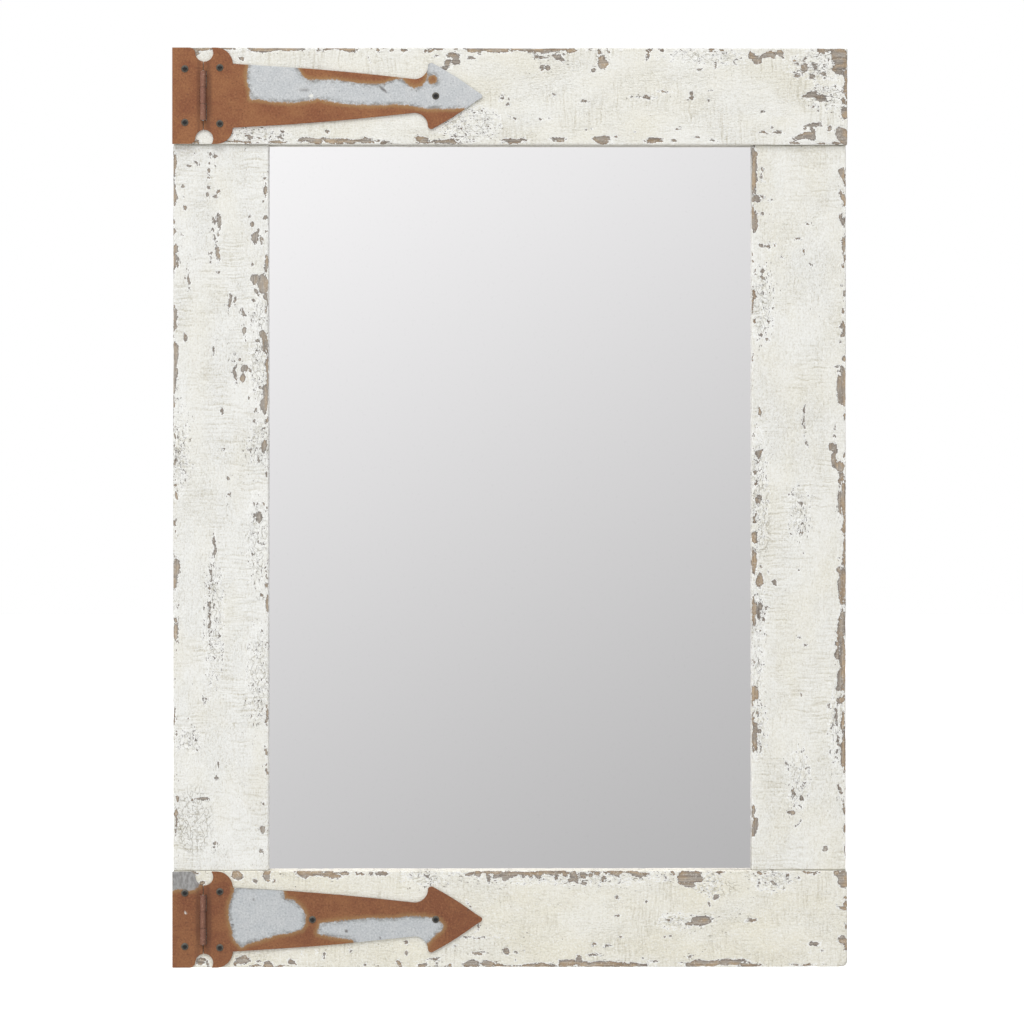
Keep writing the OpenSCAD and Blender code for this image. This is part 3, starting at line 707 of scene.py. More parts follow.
# Bare spots, as ellipses in mm from the middle: x, z, half width, half height and tilt in degrees.
CHIPS = {}
CHIPS["top_rail"] = [
    # along the upper edge
    (-279, 415, 9, 1.4), (-284, 411, 2, 2), (-255, 415.2, 7, 1), (-222, 414.2, 13, 2.6),
    (-198, 414.8, 12, 2.3), (-174, 413.5, 1.2, 2.2), (-156, 415.2, 15, 1.6), (-145, 414, 6, 2),
    (-119, 414.5, 1, 1.2), (-108, 414, 2, 1.2), (-96, 414, 3, 1), (-77, 414, 1, 1.1), (-72, 414, 2, 1),
    (-64, 414.6, 4.5, 1.6), (-50, 414.5, 2, 1.3), (-33, 415, 9, 2), (-12, 414.2, 12, 3), (12, 414.8, 12, 2.1),
    (27, 413.8, 7, 2.4), (42, 414.8, 12, 1.9), (54, 414, 5, 2.2), (72, 414.5, 2, 1), (80.5, 413, 1.7, 3.4),
    (88, 413.5, 1, 2.2), (100, 415, 1.2, 1), (124, 409.5, 3.6, 1.1, 75), (126, 415, 3, 1),
    (136, 414.5, 3.6, 1.1, -20), (182, 414, 2.7, 1.4), (192, 414.3, 2, 1.1), (283, 414.2, 8, 1.5),
    (157, 413.7, 2, 0.9),
    # the grey patches above the middle
    (-52, 408, 6, 2.3), (-49, 404, 3.7, 4), (-57, 402, 3, 2.6, 45), (-59, 398.5, 5, 1.5),
    (-34.5, 407.5, 3.4, 1.7, 20), (-27, 411.5, 2, 1, 15), (-68, 408.3, 2, 1), (24, 408.5, 2.6, 1.3),
    (30, 407.4, 4.6, 1), (43, 408.5, 2.7, 2.3), (47.5, 410.5, 1.9, 1.3), (40, 410, 1.9, 1.1),
    (47, 405, 2.6, 1.6, -30), (29, 397.5, 2.1, 2.4), (34, 397.8, 1.9, 1.9), (84.5, 401.5, 4.8, 4.2),
    (83, 407, 2.1, 2.6, -30), (76, 396, 1.9, 1.9), (-243, 406, 1.9, 1.6), (-127, 405.5, 1, 2.3, 15),
    # right end
    (171, 401.5, 1.1, 1.7), (185.5, 402.8, 2.3, 1), (185.5, 400.6, 1, 2), (172, 396, 2.3, 1),
    (218, 409, 3, 2.7), (223, 405, 4, 3.8), (230, 409, 5, 2.7, 15), (236, 409.5, 3.3, 2.8),
    (244, 412.3, 3.1, 2.5), (245.5, 409, 1.1, 2), (256.5, 405.2, 2, 1.1), (259, 402, 1.7, 1.7),
    (268, 407.5, 4, 1, 40), (266, 400, 3.5, 2.8), (265.5, 396.5, 2, 1.5), (276, 398.5, 1.4, 2.9, 10),
    (279, 395, 1, 3), (283, 392.5, 3.1, 1.8), (274, 389.8, 2.7, 2.3), (260.5, 390.5, 2.7, 1),
    (298, 409.5, 7.5, 6.5), (300.5, 403, 6, 6), (296, 397, 5, 4.6), (303.8, 392, 2, 6), (288, 407, 1.1, 2),
    (304.2, 381, 2, 6), (304.7, 374, 1.5, 4), (301.5, 368.5, 1.1, 3), (304.6, 366, 1.2, 2),
    (303.2, 357.5, 3.2, 5.6), (272, 374, 6, 3, 8), (281.5, 370.3, 4.7, 3.5, -15), (286.5, 367.8, 1.3, 1.1),
    (279.5, 359.3, 1.9, 1.2, 20), (274, 345.8, 6.5, 2), (268, 343.5, 3, 1, 40), (273.5, 341, 1.5, 4),
    (265, 336.5, 8, 2.1, 8), (272, 336, 4, 3.3), (300.5, 337.5, 5.6, 7), (289.5, 343.5, 2.1, 1.5),
    (303, 331, 4, 2.6), (123, 371.6, 8.5, 1), (138.5, 376.6, 3, 0.8), (164.5, 373.8, 1.6, 3),
    (163, 370.9, 2.8, 1), (182, 377.2, 2, 0.9, 15), (180, 369.3, 1, 1.4), (229, 339.7, 3.5, 1),
    (241.5, 339.4, 3.5, 1.1, -8), (236.7, 344.8, 1.1, 1), (228.5, 357.8, 2, 0.9), (151, 342.2, 2.2, 1, 20),
    # the middle, and the lower edge
    (39, 374.2, 1.4, 1), (-7.5, 372, 2.2, 1.1, 60), (-1, 370.5, 1, 1.2), (-3.2, 365.8, 1.8, 1.4),
    (67, 366.6, 2.4, 0.8), (-18, 352.5, 1.1, 1.1), (-2, 353, 1.4, 1.1), (4, 352.2, 1.1, 1),
    (27.5, 352.6, 1.2, 1), (34.3, 352.3, 1.6, 1.1, 30), (68, 342.6, 1.6, 1.4), (74.5, 343, 1.2, 1, 30),
    (112, 340.8, 1.1, 1), (-166, 339, 2.5, 1.4, 30), (-236, 335.5, 2.9, 1.4), (-227, 334.5, 1.3, 1),
    (-216, 334.7, 1.2, 1), (-209, 334.5, 4, 1.3), (-283, 330.5, 3, 1), (-245, 330.6, 12, 1.1),
    (-208, 330.3, 7, 1), (-178, 332, 11, 2.7), (-164, 332, 8, 2.3), (-146, 331.5, 12, 2.1),
    (-130, 331.5, 6, 2.3), (-121, 332, 3, 1.1), (-113, 330.5, 4, 1.1), (-80, 333, 4.6, 2.7),
    (-58, 331, 13, 1.8), (4, 331.8, 9, 2.1), (45, 332.8, 5, 1.9), (40, 333.6, 3, 1.1), (83, 333.3, 6.6, 2.7),
    (84, 330.8, 4.6, 1.2), (96, 335.8, 1.4, 1), (129, 332.3, 6.6, 2.5), (147.5, 332.6, 3, 1.7),
    (168, 334.6, 2, 0.9), (184, 332.2, 3, 1.2), (257, 330.2, 5, 1.1), (280, 329.9, 5, 1), (296, 329.9, 5, 1),
]
CHIPS["bottom_rail"] = [
    # along the upper edge
    (-286, -330, 4, 1.2), (-277.5, -339.5, 1.9, 1.7), (-247, -332.5, 5.6, 4.1), (-220, -333.5, 3.5, 4.6),
    (-230.8, -337.3, 1.6, 1.9), (-212.8, -337.5, 1, 1.1), (-185, -331, 8, 2.7), (-187, -333, 2.3, 2.4),
    (-170, -331, 12, 2.3), (-158, -333.2, 5, 2), (-150, -331, 4, 1.7), (-139.6, -331, 1, 1.4),
    (-134, -331, 2, 1.4), (-126, -330.6, 1.3, 1.1), (-116, -331.3, 6, 1.8), (-76, -332.8, 2.7, 1.5),
    (-36, -331, 3, 1.5), (-30, -331.5, 2.6, 2.5), (-20, -333.5, 2.2, 4), (-12, -332.5, 3, 2.7),
    (-3, -332.8, 5, 3), (4, -331.5, 3, 2.1), (12, -332.5, 1.5, 2.5, -20), (18, -333, 1.3, 2.7, -20),
    (26, -332, 3, 2.3, 30), (34, -331, 3, 1.5), (41, -333.5, 1.5, 4, -20), (49, -332, 3, 2.5, -20),
    (58, -333, 3.7, 4.6), (55, -337, 1.7, 2, -25), (66, -332, 3, 2.5), (66, -340, 2.7, 1.8, -15),
    (60, -339, 1.5, 1.6), (72, -333, 2, 2), (79, -331.5, 2.5, 1.7), (85, -334, 1.3, 3, -20), (96, -331, 7, 2),
    (115, -331.5, 9, 2.3), (14, -330.4, 50, 1.7), (98, -330, 24, 1.2), (147.5, -331.3, 1.7, 2),
    (141, -335.6, 1.4, 1), (160, -336, 8.6, 7), (168, -331.5, 5, 2.6), (172, -335, 3, 3),
    (190.5, -330.8, 3.6, 1.1), (225.8, -330.5, 2, 1.5), (231.5, -331, 1.5, 1.3), (238.5, -338.5, 1.9, 1.9),
    (225, -339.4, 1.6, 1), (250, -332.5, 1.5, 2.7), (261, -335, 1.4, 1), (272.5, -330.5, 6, 1.3),
    (276, -331.6, 2, 1.5), (302, -336, 5, 7.6), (296, -331, 3, 1.9),
    # the middle
    (81, -341.8, 1, 1.1), (97, -353, 1.7, 1), (96, -369, 2, 0.8), (99.5, -388, 1.9, 1.1),
    (-29, -389, 12, 0.7), (186.5, -352.5, 2.3, 2.3), (180, -358.5, 0.9, 1.8), (122.5, -355.8, 1.1, 1),
    (173, -373.5, 9.5, 4.1, 8), (162, -376.5, 6, 1.6, -5), (217, -373.4, 4.1, 1.7, 15),
    (142.5, -373.4, 1, 0.9), (145.8, -373, 1, 0.9), (303.8, -352.6, 1.7, 1.7), (303.5, -358.5, 2.5, 1.9),
    (301.5, -362, 4, 1.7, -15), (303.8, -379, 1.5, 2.5), (301, -392.5, 5, 3.1, -20), (304, -396, 2, 4),
    (140, -388, 1.3, 1.3), (145.3, -388, 1, 1.2), (275, -394.5, 4, 1.3, 8), (282.5, -401.5, 1.5, 1.4, 40),
    (271.5, -403, 1.6, 0.9), (-95, -393, 1.5, 2), (-37.5, -358.5, 4.5, 0.9, -55), (-29.5, -380, 0.9, 3, -20),
    # the lower edge
    (-279.8, -410, 3.1, 3.5), (-273.3, -413.3, 1, 2), (-248.5, -412, 1.9, 1.7), (-242, -409, 5.1, 3.1),
    (-229, -410, 1.9, 1.4, 20), (-219, -412.5, 4.1, 3.1), (-231, -414.5, 4, 1.2, 10),
    (-210, -414.8, 3.6, 1.3), (-199.3, -410, 3.1, 2.5), (-194, -412.6, 1, 1), (-188, -402.5, 1, 1.3),
    (-175, -402, 1, 2.2), (-168, -405, 1.1, 1.8), (-144.6, -401, 1, 1.3), (-131.5, -413.5, 1.7, 1.2, 35),
    (-100.5, -412.5, 2, 3, 30), (-94.5, -403.5, 1.7, 2.2, 20), (-50, -396.5, 2.3, 1, 15),
    (-29, -402.5, 4.6, 1.6), (-3, -401.7, 2.7, 2.7), (5.5, -402.3, 1.6, 1.4), (12, -401, 0.9, 1.6),
    (4.5, -408.8, 1, 1.2), (-69, -408.5, 5, 1.5), (-66.5, -414.5, 1, 2), (-78.5, -414.5, 4.1, 2.5),
    (-56, -415, 2.5, 1.4, 30), (-41, -413, 1.6, 1), (-35, -413.5, 6.6, 2.9), (-20, -413, 6, 2.7),
    (-8, -415.2, 10, 1.9), (20, -415, 24, 1.8), (28, -413.5, 6, 1.7), (52, -412.5, 8, 3.1),
    (62, -410, 3.1, 4.6), (66, -413, 4, 3), (85, -413.4, 16, 2.5), (110, -414.2, 14, 1.7),
    (76.5, -396, 2, 0.9), (87, -396.8, 3, 1), (76, -404.5, 4, 0.9), (120.5, -407.8, 1.5, 1),
    (130, -409.6, 3, 0.8), (163.3, -405.4, 1.8, 1), (156, -412, 2.5, 1.1), (162, -412.5, 4, 1.9),
    (176, -412.3, 16, 2.7, 3), (200, -411.5, 12, 2.9, 4), (216, -414, 9, 1.5), (266, -414.3, 9, 1.2),
]
CHIPS["left_stile"] = [
    # down the outer edge
    (-304.2, 310, 2.3, 9), (-305.2, 322, 1.1, 3), (-304.5, 285, 2.2, 10), (-304.7, 258, 1.4, 2.7),
    (-304.2, 250, 1.7, 3), (-303.7, 234.5, 3.1, 4), (-304.2, 224, 2.2, 7), (-305.2, 212, 1, 6),
    (-305.2, 182, 1.7, 2), (-304.2, 173, 2.4, 6), (-303.2, 164, 1.7, 3), (-305.2, 159, 1.1, 4),
    (-303.2, 141, 3, 8), (-304.2, 126, 3.4, 12), (-304.7, 112, 2.5, 6), (-305.4, 94, 1.4, 19),
    (-303.8, 66, 1.2, 4), (-301.2, 65.5, 0.9, 2), (-303.2, 52, 0.9, 2), (-302.9, 42, 1.1, 4),
    (-303.2, 19.8, 1.2, 1.4), (-302.8, 11.5, 1.4, 3.2), (-303.2, -13, 0.9, 3), (-303.2, -21, 1.1, 1.3),
    (-302.7, -55, 3, 8), (-304.2, -66, 2.2, 7), (-301.2, -90, 0.9, 2), (-303.2, -101, 1.7, 3),
    (-303.7, -111, 2.4, 7), (-302.2, -120.5, 0.9, 1.3), (-304.5, -155, 1.6, 1.7), (-304.2, -188, 1.4, 6),
    (-305.5, -182, 0.9, 5), (-302.8, -203, 0.9, 1.1), (-301.2, -263, 1.3, 2.5), (-302.2, -283, 0.9, 10),
    (-302.2, -277, 1.5, 3),
    # left of the middle
    (-296, 291, 1.5, 1.8), (-294.5, 271.5, 1.7, 2.3), (-296, 281, 1.5, 1), (-286, 320.5, 2, 0.9),
    (-284, 312, 2.4, 1, -25), (-291, 308.6, 1.3, 1), (-297.5, 247, 1, 1.5), (-301.2, 221, 1.1, 3.2),
    (-293.5, 154, 1.8, 3.6), (-291, 207, 0.9, 5), (-291.5, 198.5, 1.3, 1.3), (-272, 319, 1.1, 2.2),
    (-272.3, 311.5, 1.5, 1.5), (-272.6, 305, 1.1, 2.6), (-272, 297.5, 1.7, 1.1), (-272.4, 290, 1.6, 1.3),
    (-273, 283, 1.5, 2.1), (-267.5, 318.6, 1.5, 1.2), (-267.5, 309.6, 1, 1), (-266.5, 281.5, 2.7, 1, 10),
    (-264, 285.5, 1.8, 1.5, 30), (-264.4, 259.5, 2, 7.2), (-268.3, 259, 1.1, 3), (-265, 247, 1.1, 2.2),
    (-265, 231, 1.7, 8.1), (-268, 244, 0.9, 2.5), (-269, 252, 1.3, 1.1), (-271, 230, 1.7, 1),
    (-270.8, 223, 0.9, 2.4), (-265, 213.5, 1.3, 1.1), (-254, 187.5, 1.6, 6), (-249, 187, 1.4, 3),
    (-242, 176, 1.3, 3.5, 15), (-240.7, 159.5, 2, 3.9), (-239.5, 153.5, 1, 2), (-268.3, 142.3, 1.1, 3.7),
    (-249, 122, 1.3, 8.6), (-251, 133, 1.7, 1), (-248.7, 138.8, 1.2, 0.9), (-245, 134.3, 1.3, 1.8),
    (-240, 126, 3.3, 3.9), (-236.5, 125.5, 3.5, 1.5, -20), (-242, 118, 2.6, 3), (-261, 88.5, 1, 2.8),
    (-259.5, 53, 1.4, 1.7), (-255.5, 26, 1, 1.3), (-254.5, 12, 1.6, 1.4, 40), (-268, -34, 1.2, 9),
    (-271.8, -58, 1, 8), (-272, -73, 1, 1.6), (-272.3, -100, 1.1, 18), (-263, -116.5, 1.3, 1.5),
    (-277.5, -174.5, 1.1, 2.4), (-275.8, -172.6, 1.4, 0.9), (-291.7, -190.5, 1.1, 1),
    (-284.6, -209.6, 1, 1.1), (-264.6, -233, 1.1, 2.6, -15), (-266.5, -245, 1.1, 3), (-267.5, -304, 1, 3),
    (-280, -264, 7.9, 1.8),
    # down the inner edge
    (-221.7, 286, 2, 3.9), (-222.3, 297, 1, 3), (-223.3, 278, 1, 1.2), (-222.5, 263.4, 1.8, 2.1),
    (-220.5, 251, 1, 1.6), (-235.5, 264, 1.3, 1.2, -40), (-233.5, 257, 1.7, 2.2, -30),
    (-231.6, 244.5, 3.3, 4.6), (-225, 243, 1.3, 3.5), (-228.5, 250.5, 1.1, 1.6), (-224, 203, 4.9, 9),
    (-231, 207, 3.5, 4.5), (-221, 220, 1.7, 9), (-234, 219.2, 1.4, 1.4), (-230.5, 195.5, 4, 1.5, -35),
    (-232, 188, 2.3, 1.6, -30), (-220.5, 184, 1.3, 7), (-222, 190, 1.8, 2.7), (-224.5, 157, 3.1, 3.3),
    (-221.3, 150, 2.5, 9), (-230, 151, 2, 1.6), (-219.7, 120, 1.4, 26), (-226, 108.5, 2.3, 1.8),
    (-222, 94, 2.9, 8.1), (-222, 105, 2.6, 5.4), (-220, 79, 1.2, 3), (-230, 87.5, 2.3, 1.1),
    (-231.5, 79, 1.2, 1), (-236.5, 100, 1, 2), (-223, 55, 2.6, 5.4), (-235.5, 51.5, 1.2, 1.1),
    (-226.5, 42.5, 1.5, 1.5), (-227.5, -9, 2.9, 4.5), (-230.8, -6.5, 1.5, 2.9), (-222.5, 4, 1, 1.3),
    (-220.5, 29.5, 1, 2.4), (-226, -79.5, 1.5, 1.5), (-221, -70.5, 1.1, 2), (-220, -88, 1.5, 7.2),
    (-220, -187, 1.3, 9), (-221.5, -192.5, 2, 1.2, 40), (-221.5, -220, 1.1, 4), (-222, -232, 1.3, 1.6),
    (-220.5, -239, 1.4, 2), (-223, -267.5, 1.6, 1.6, -20), (-223.5, -291.5, 2.2, 2.7),
    (-224.5, -310.7, 1.5, 1.6),
]
CHIPS["right_stile"] = [
    # down the inner edge
    (221, 322, 3.5, 2.5, -30), (220.5, 305, 2.2, 18), (228.5, 306, 1.3, 2.5), (227.5, 300.5, 1, 3),
    (229.5, 294.8, 1.2, 0.9), (222.5, 280, 3.5, 2.9), (227.5, 282.5, 2.4, 1.2, -35), (235, 278, 1.7, 1),
    (221, 260, 3, 9), (219.5, 268, 1.4, 8), (228, 267, 1.5, 1.2), (219.2, 230, 1, 2.4), (219.2, 225, 1, 2),
    (228.5, 238.2, 3.2, 1.5, -15), (234, 236.5, 1.6, 3), (239.7, 238.3, 1, 1.4), (229, 214.5, 1.7, 1.7),
    (228.7, 208, 2, 1.3, -30), (227.5, 201, 1.1, 1.3), (220.5, 194.5, 1.7, 4), (219, 190, 1, 14),
    (221, 169, 1.1, 3), (233.5, 168.5, 1.3, 1), (226.5, 156, 1.3, 1.8), (219.4, 136, 1.1, 6),
    (226, 87, 2.2, 3), (225, 48.7, 3.3, 2.3), (222.8, 32.5, 1.5, 1.5), (223.3, 22.5, 1.5, 3),
    (224.5, 5.5, 2.9, 2.5), (226.3, 9.5, 1.3, 1.4), (223, -7, 1, 2.4), (220.5, -11.5, 1.1, 2),
    (221, -26, 2.7, 5.5), (220.5, -48, 2.5, 11), (226.5, -53, 1.5, 1.5), (226, -66, 2.7, 6.6),
    (227, -73, 1.1, 2), (233.8, -57.5, 1.1, 2), (239.5, -67.5, 1.7, 2.9, 20), (219.5, -85, 1.1, 4),
    (221.5, -92, 2.6, 6), (226.8, -88.5, 2.4, 3.6), (225.5, -97, 2, 5), (220.5, -101, 1.7, 5),
    (230.5, -102, 1, 3), (232.5, -90, 1.5, 1), (221, -169, 3.6, 6.5), (219.8, -175, 1.7, 6),
    (223.5, -186, 2, 1.1), (219.5, -190, 1, 4), (221, -196.5, 2.1, 2.5), (221.3, -208, 2.3, 12),
    (225, -203, 2.6, 1.9), (227, -217, 0.9, 4), (220.3, -275, 1.7, 7), (221.5, -287, 2.5, 6),
    (220.5, -293, 2, 5),
    # the middle
    (260.5, 243.5, 3, 1.1), (270, 257, 2.6, 0.9), (265.8, 231.5, 0.9, 1.8), (273, 219.7, 1.7, 1, -25),
    (246, 226, 1.5, 0.9, -30), (266.3, 82, 1, 9), (267, 72, 1.3, 1.1, -30), (268.2, 59.5, 1.2, 2.8),
    (262.5, 3.5, 1.4, 1.4), (253.3, 13.2, 1.4, 1, 40), (261.5, 20, 0.9, 1.4), (263.8, -13, 0.9, 1.8),
    (266.7, -41.3, 1.4, 1), (261.5, -56, 1.1, 1.1), (264.5, -169, 0.9, 2.7), (268.5, -124.5, 2.3, 1.3, -15),
    (261.2, -117, 1.3, 1), (249.6, -230.5, 0.9, 2), (256, -257, 1.1, 3.4, -20), (263.5, -263, 2, 1.5, -35),
    (254.5, -277.2, 2.5, 1.8, -20), (261.5, -286.5, 3.4, 1.3, 42), (285.8, -309.3, 3.1, 2.1, 35),
    # down the outer edge
    (301.5, 303, 2.4, 5), (299, 305.5, 1.5, 3), (302.5, 297, 1.3, 5), (298.8, 284, 1.5, 3.3),
    (301.3, 281, 2, 2.7), (302.6, 276, 1.3, 5), (299.8, 264, 1.7, 2.5), (301.8, 259, 1.8, 4),
    (302.7, 237, 1.4, 12), (300.5, 243, 1.3, 2.5), (302, 219.5, 1.1, 1), (299.8, 201, 1, 1.3),
    (303, 194, 1.1, 4), (302, 178, 1.2, 3), (301.8, 163, 1.9, 6), (299.6, 164, 1.6, 1.5),
    (300.5, 156, 2, 1.7), (299.8, 150.3, 1.5, 1), (302.3, 135, 1.7, 3), (297, 127.5, 2, 1),
    (301.5, 116, 2.7, 11), (297.5, 110, 2.4, 9), (300.5, 102, 4, 9), (303, 96, 2, 4), (303.6, 82, 1, 6),
    (294.8, 72, 0.9, 1.6), (293.8, 64.5, 1, 1.6), (291.5, 55.5, 3.5, 2.7), (293.5, 46, 2.4, 8),
    (298.5, 38, 4.4, 3.8), (299.5, 28, 1.9, 6), (303.3, 47, 1, 4), (302.5, 5, 2.3, 18), (299, 5, 1.7, 12),
    (302.5, -15, 1.5, 8), (303.2, -35, 1.2, 6), (298.2, -45, 1, 1), (302.5, -46, 1.6, 8),
    (297.8, -56, 1.9, 3), (301.8, -70, 2.2, 16), (299.5, -68, 2, 12), (299.8, -84, 1.5, 6),
    (302, -105, 2.4, 12), (299, -111, 2.7, 13), (296.5, -123.5, 2, 1.9), (300.5, -132, 2.5, 14),
    (297, -133, 1.9, 5), (302, -150, 2.1, 16), (299.5, -156, 2.6, 10), (297.5, -164, 1.6, 3),
    (299, -175, 3, 2), (296, -190, 1, 8), (301.5, -188, 1.5, 6), (300.5, -196, 1.6, 5), (303, -205, 1.5, 8),
    (301.8, -215, 2.1, 9), (301.5, -228, 2.2, 8), (302.8, -236, 1.4, 6), (296, -210, 1.1, 3, -20),
    (297, -214.5, 1.7, 1, -30), (299, -256, 1, 4, 20), (300.2, -262.5, 2, 1.3), (301.4, -266, 1.1, 3),
    (302.8, -273, 1.3, 5), (303.5, -290, 1, 5), (303.6, -309, 1, 4),
]
# Places where the paint is thin and flakes in specks, and where it has only crackled.
FLAKES = {
    "top_rail": [
        (-38, 348, 26, 15), (282, 400, 26, 12), (180, 408, 30, 6), (285, 372, 16, 10), (-230, 338, 20, 5),
    ],
    "bottom_rail": [
        (-78, -334, 15, 7), (180, -339, 10, 11), (237, -337, 15, 9), (60, -335, 50, 4), (150, -374, 12, 6),
    ],
    "left_stile": [
        (-227, 130, 8, 34), (-299, 55, 6, 28), (-226, 58, 10, 18), (-268, -104, 7, 46), (-228, -150, 9, 36),
        (-228, -30, 9, 34), (-291, -211, 10, 9), (-226, 175, 9, 12),
    ],
    "right_stile": [
        (228, 185, 9, 30), (224, 20, 8, 42), (223, -98, 7, 28), (223, -150, 5, 26), (224, -200, 7, 22),
        (262, -5, 8, 20), (297, -195, 7, 30), (262, -245, 8, 22),
    ],
}
CRAZED = {
    "top_rail": [],
    "bottom_rail": [(188, -344, 22, 8)],
    "left_stile": [(-286, -283, 17, 32)],
    "right_stile": [(228, -10, 9, 40)],
}


def blob_distance(x, z, blob):
    """About how far a point is outside a tilted ellipse, in mm."""
    middle_x, middle_z, half_x, half_z, *tilt = blob
    turn = math.radians(sum(tilt))
    along = (x - middle_x) * math.cos(turn) + (z - middle_z) * math.sin(turn)
    across = (z - middle_z) * math.cos(turn) - (x - middle_x) * math.sin(turn)
    return (np.hypot(along / half_x, across / half_z) - 1) * min(half_x, half_z)


class Board:
    """A rail or stile, with its box."""

    def __init__(self, name):
        self.name = name
        self.along, self.seed, self.aged, self.edge_shade = BOARDS[name]
        self.across = 2 - self.along
        self.low, self.high = (np.array(corner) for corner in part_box(name))

    def rim(self, points):
        """Distance in mm over the surface to the nearest edge. A stile's hidden ends don't count."""
        gaps = np.minimum(points - self.low, self.high - points) / MM
        if self.along == 2:
            return np.maximum(gaps[:, 0], gaps[:, 1])
        return np.sort(gaps, axis=1)[:, 1]

    def paint(self, points):
        """About how far inside the paint each point is, in mm: below 0 where the wood is bare."""
        x, z = from_middle(points)
        from_front = (points[:, 1] - self.low[1]) / MM
        depth = np.minimum(PAINT_AT_EDGE + PAINT_GROWTH * self.rim(points), PAINT_MOST)
        for blob in FLAKES[self.name]:
            depth = np.minimum(depth, np.maximum(blob_distance(x, z, blob) / FLAKE_SPREAD, FLAKE_DEPTH))
        x = x + CHIP_STRAY * field(points, STRAY_LUMP, STRAY_SEEDS[0])
        z = z + CHIP_STRAY * field(points, STRAY_LUMP, STRAY_SEEDS[1])
        for blob in CHIPS[self.name]:
            growth = CHIP_GROWTH * fade(min(blob[2:4]), *CHIP_LARGE)
            depth = np.minimum(depth, blob_distance(x, z, blob) - growth + CHIP_FADE * from_front)
        on_side = fade(from_front, *SIDE_START)
        depth = depth * (1 - on_side) + np.minimum(depth, PAINT_MOST_SIDE) * on_side
        on_back = fade((self.high[1] - points[:, 1]) / MM, *BACK_START)
        outer = np.minimum(HALF_WIDTH - np.abs(x), HALF_HEIGHT - np.abs(z))
        return depth * (1 - on_back) + (BACK_BARE + BACK_RUN * np.exp(-outer / BACK_RUN_REACH)) * on_back

    def surface(self):
        """Points and quads of the board with worn edges, nicks, chips and an uneven face."""
        steps = [BOARD_STEP_ACROSS, BOARD_STEP_DEEP, BOARD_STEP_ACROSS]
        steps[self.along] = BOARD_STEP_ALONG
        axes = zip(self.low, self.high, steps)
        points, quads = box_lattice([places(low, high, step, BOARD_ENDS) for low, high, step in axes])

        corner = np.hypot(points[:, 0] - TOP_HIGH.x, points[:, 2] - BOTTOM_LOW.z) / MM
        radius = EDGE_RADIUS + EDGE_UNEVEN * field(points, EDGE_LUMP, self.seed)
        radius = (radius + WORN_CORNER * fade(corner, *WORN_REACH)) * MM
        shaped = rounded(points, self.low, self.high, radius)
        out = outward(shaped, np.clip(shaped, self.low + SKIN, self.high - SKIN))
        lumps = [FACE_LUMP] * 3
        lumps[self.along] = FACE_LUMP_ALONG
        nicks = np.clip(field(points, NICK_LUMP, self.seed + 1) - NO_NICK, 0, 1)
        sunk = CHIP_STEP * fade(self.paint(points), *CHIP_SLOPE)
        sunk = sunk + NICK_DEPTH * (nicks * fade(self.rim(points), *NICK_REACH))
        sunk = sunk + FACE_UNEVEN * (1 + field(points, lumps, self.seed + 2))
        return (shaped - out * (sunk * MM)[:, None]).tolist(), quads

    def tell_material(self, mesh):
        """Stores what whitewashed_wood reads."""
        points = coordinates(mesh)
        x, z = from_middle(points)
        on_back = fade(points[:, 1], BACK_Y - BACK_SKIN, BACK_Y)
        near_rim = fade(self.rim(points), *FRESH_REACH)
        side = fade((points[:, 1] - self.low[1]) / MM, *SIDE_SHADE_START) * (1 - on_back)
        middle = (MID_X, 0, MID_Z)[self.across]
        half = abs((self.low[self.across] + self.high[self.across]) / 2 - middle)
        # painted shade on the sides, set for the edges next to the glass and outside
        inner, outer = self.edge_shade
        edge_shade = np.where(np.abs(points[:, self.across] - middle) > half, outer, inner)
        blobs = FLAKES[self.name] + CRAZED[self.name]
        thin = [fade(blob_distance(x, z, blob), *THIN_EDGE) for blob in blobs]

        board = np.stack([points[:, self.along], points[:, self.across], points[:, 1]], -1) / MM
        store(mesh, "board", board + BOARD_APART * self.seed)
        store(mesh, "paint", self.paint(points))
        store(mesh, "fresh", FRESH_EDGE * near_rim * (1 - on_back) - STALE_BACK * on_back)
        store(mesh, "side", edge_shade * side)
        store(mesh, "aged", np.full(len(points), self.aged))
        store(mesh, "thin", np.max(thin, axis=0))
        store(mesh, "recess_shade", recess_shade(points))


def recess_shade(points):
    """Painted shade next to the glass, along the top and in the right corners, and in the gaps of the hinges.
    """
    x, z = points[:, 0] - MID_X, points[:, 2] - MID_Z
    around = (np.abs(x) < OPEN_X + MM) & (np.abs(z) < OPEN_Z + MM)
    top = fade(z, OPEN_Z - RECESS_SHADE_TOP, OPEN_Z - RECESS_SHADE_TOP / 4)
    corners = fade(x / OPEN_X, *RECESS_SHADE_CORNER_X) * fade(np.abs(z) / OPEN_Z, *RECESS_SHADE_CORNER_Z)
    near = fade(points[:, 1], GLASS_LOW.y - RECESS_SHADE_DEPTH, GLASS_LOW.y - 0.5 * MM)
    gap = fade(np.abs(x - HINGE_GAP_X), HINGE_GAP_WIDE, HINGE_GAP_WIDE / 2)
    gap = gap * fade(np.abs(np.abs(z) - HINGE_GAP_Z), HINGE_GAP_TALL + MM, HINGE_GAP_TALL - MM)
    gap = gap * fade(points[:, 1], FRONT_Y + 3 * MM, FRONT_Y + MM)
    return np.maximum(around * near * np.maximum(top, corners), gap)


def rebate_tool():
    """The room for the glass and for what lies behind it."""
    low = (GLASS_LOW.x - GLASS_PLAY, GLASS_LOW.y, GLASS_LOW.z - GLASS_PLAY)
    high = (GLASS_HIGH.x + GLASS_PLAY, BACK_Y + REBATE_OVERCUT, GLASS_HIGH.z + GLASS_PLAY)
    points, quads = box_lattice([np.array(pair) for pair in zip(low, high)])
    return add_object("rebate", new_mesh("rebate", points.tolist(), quads))


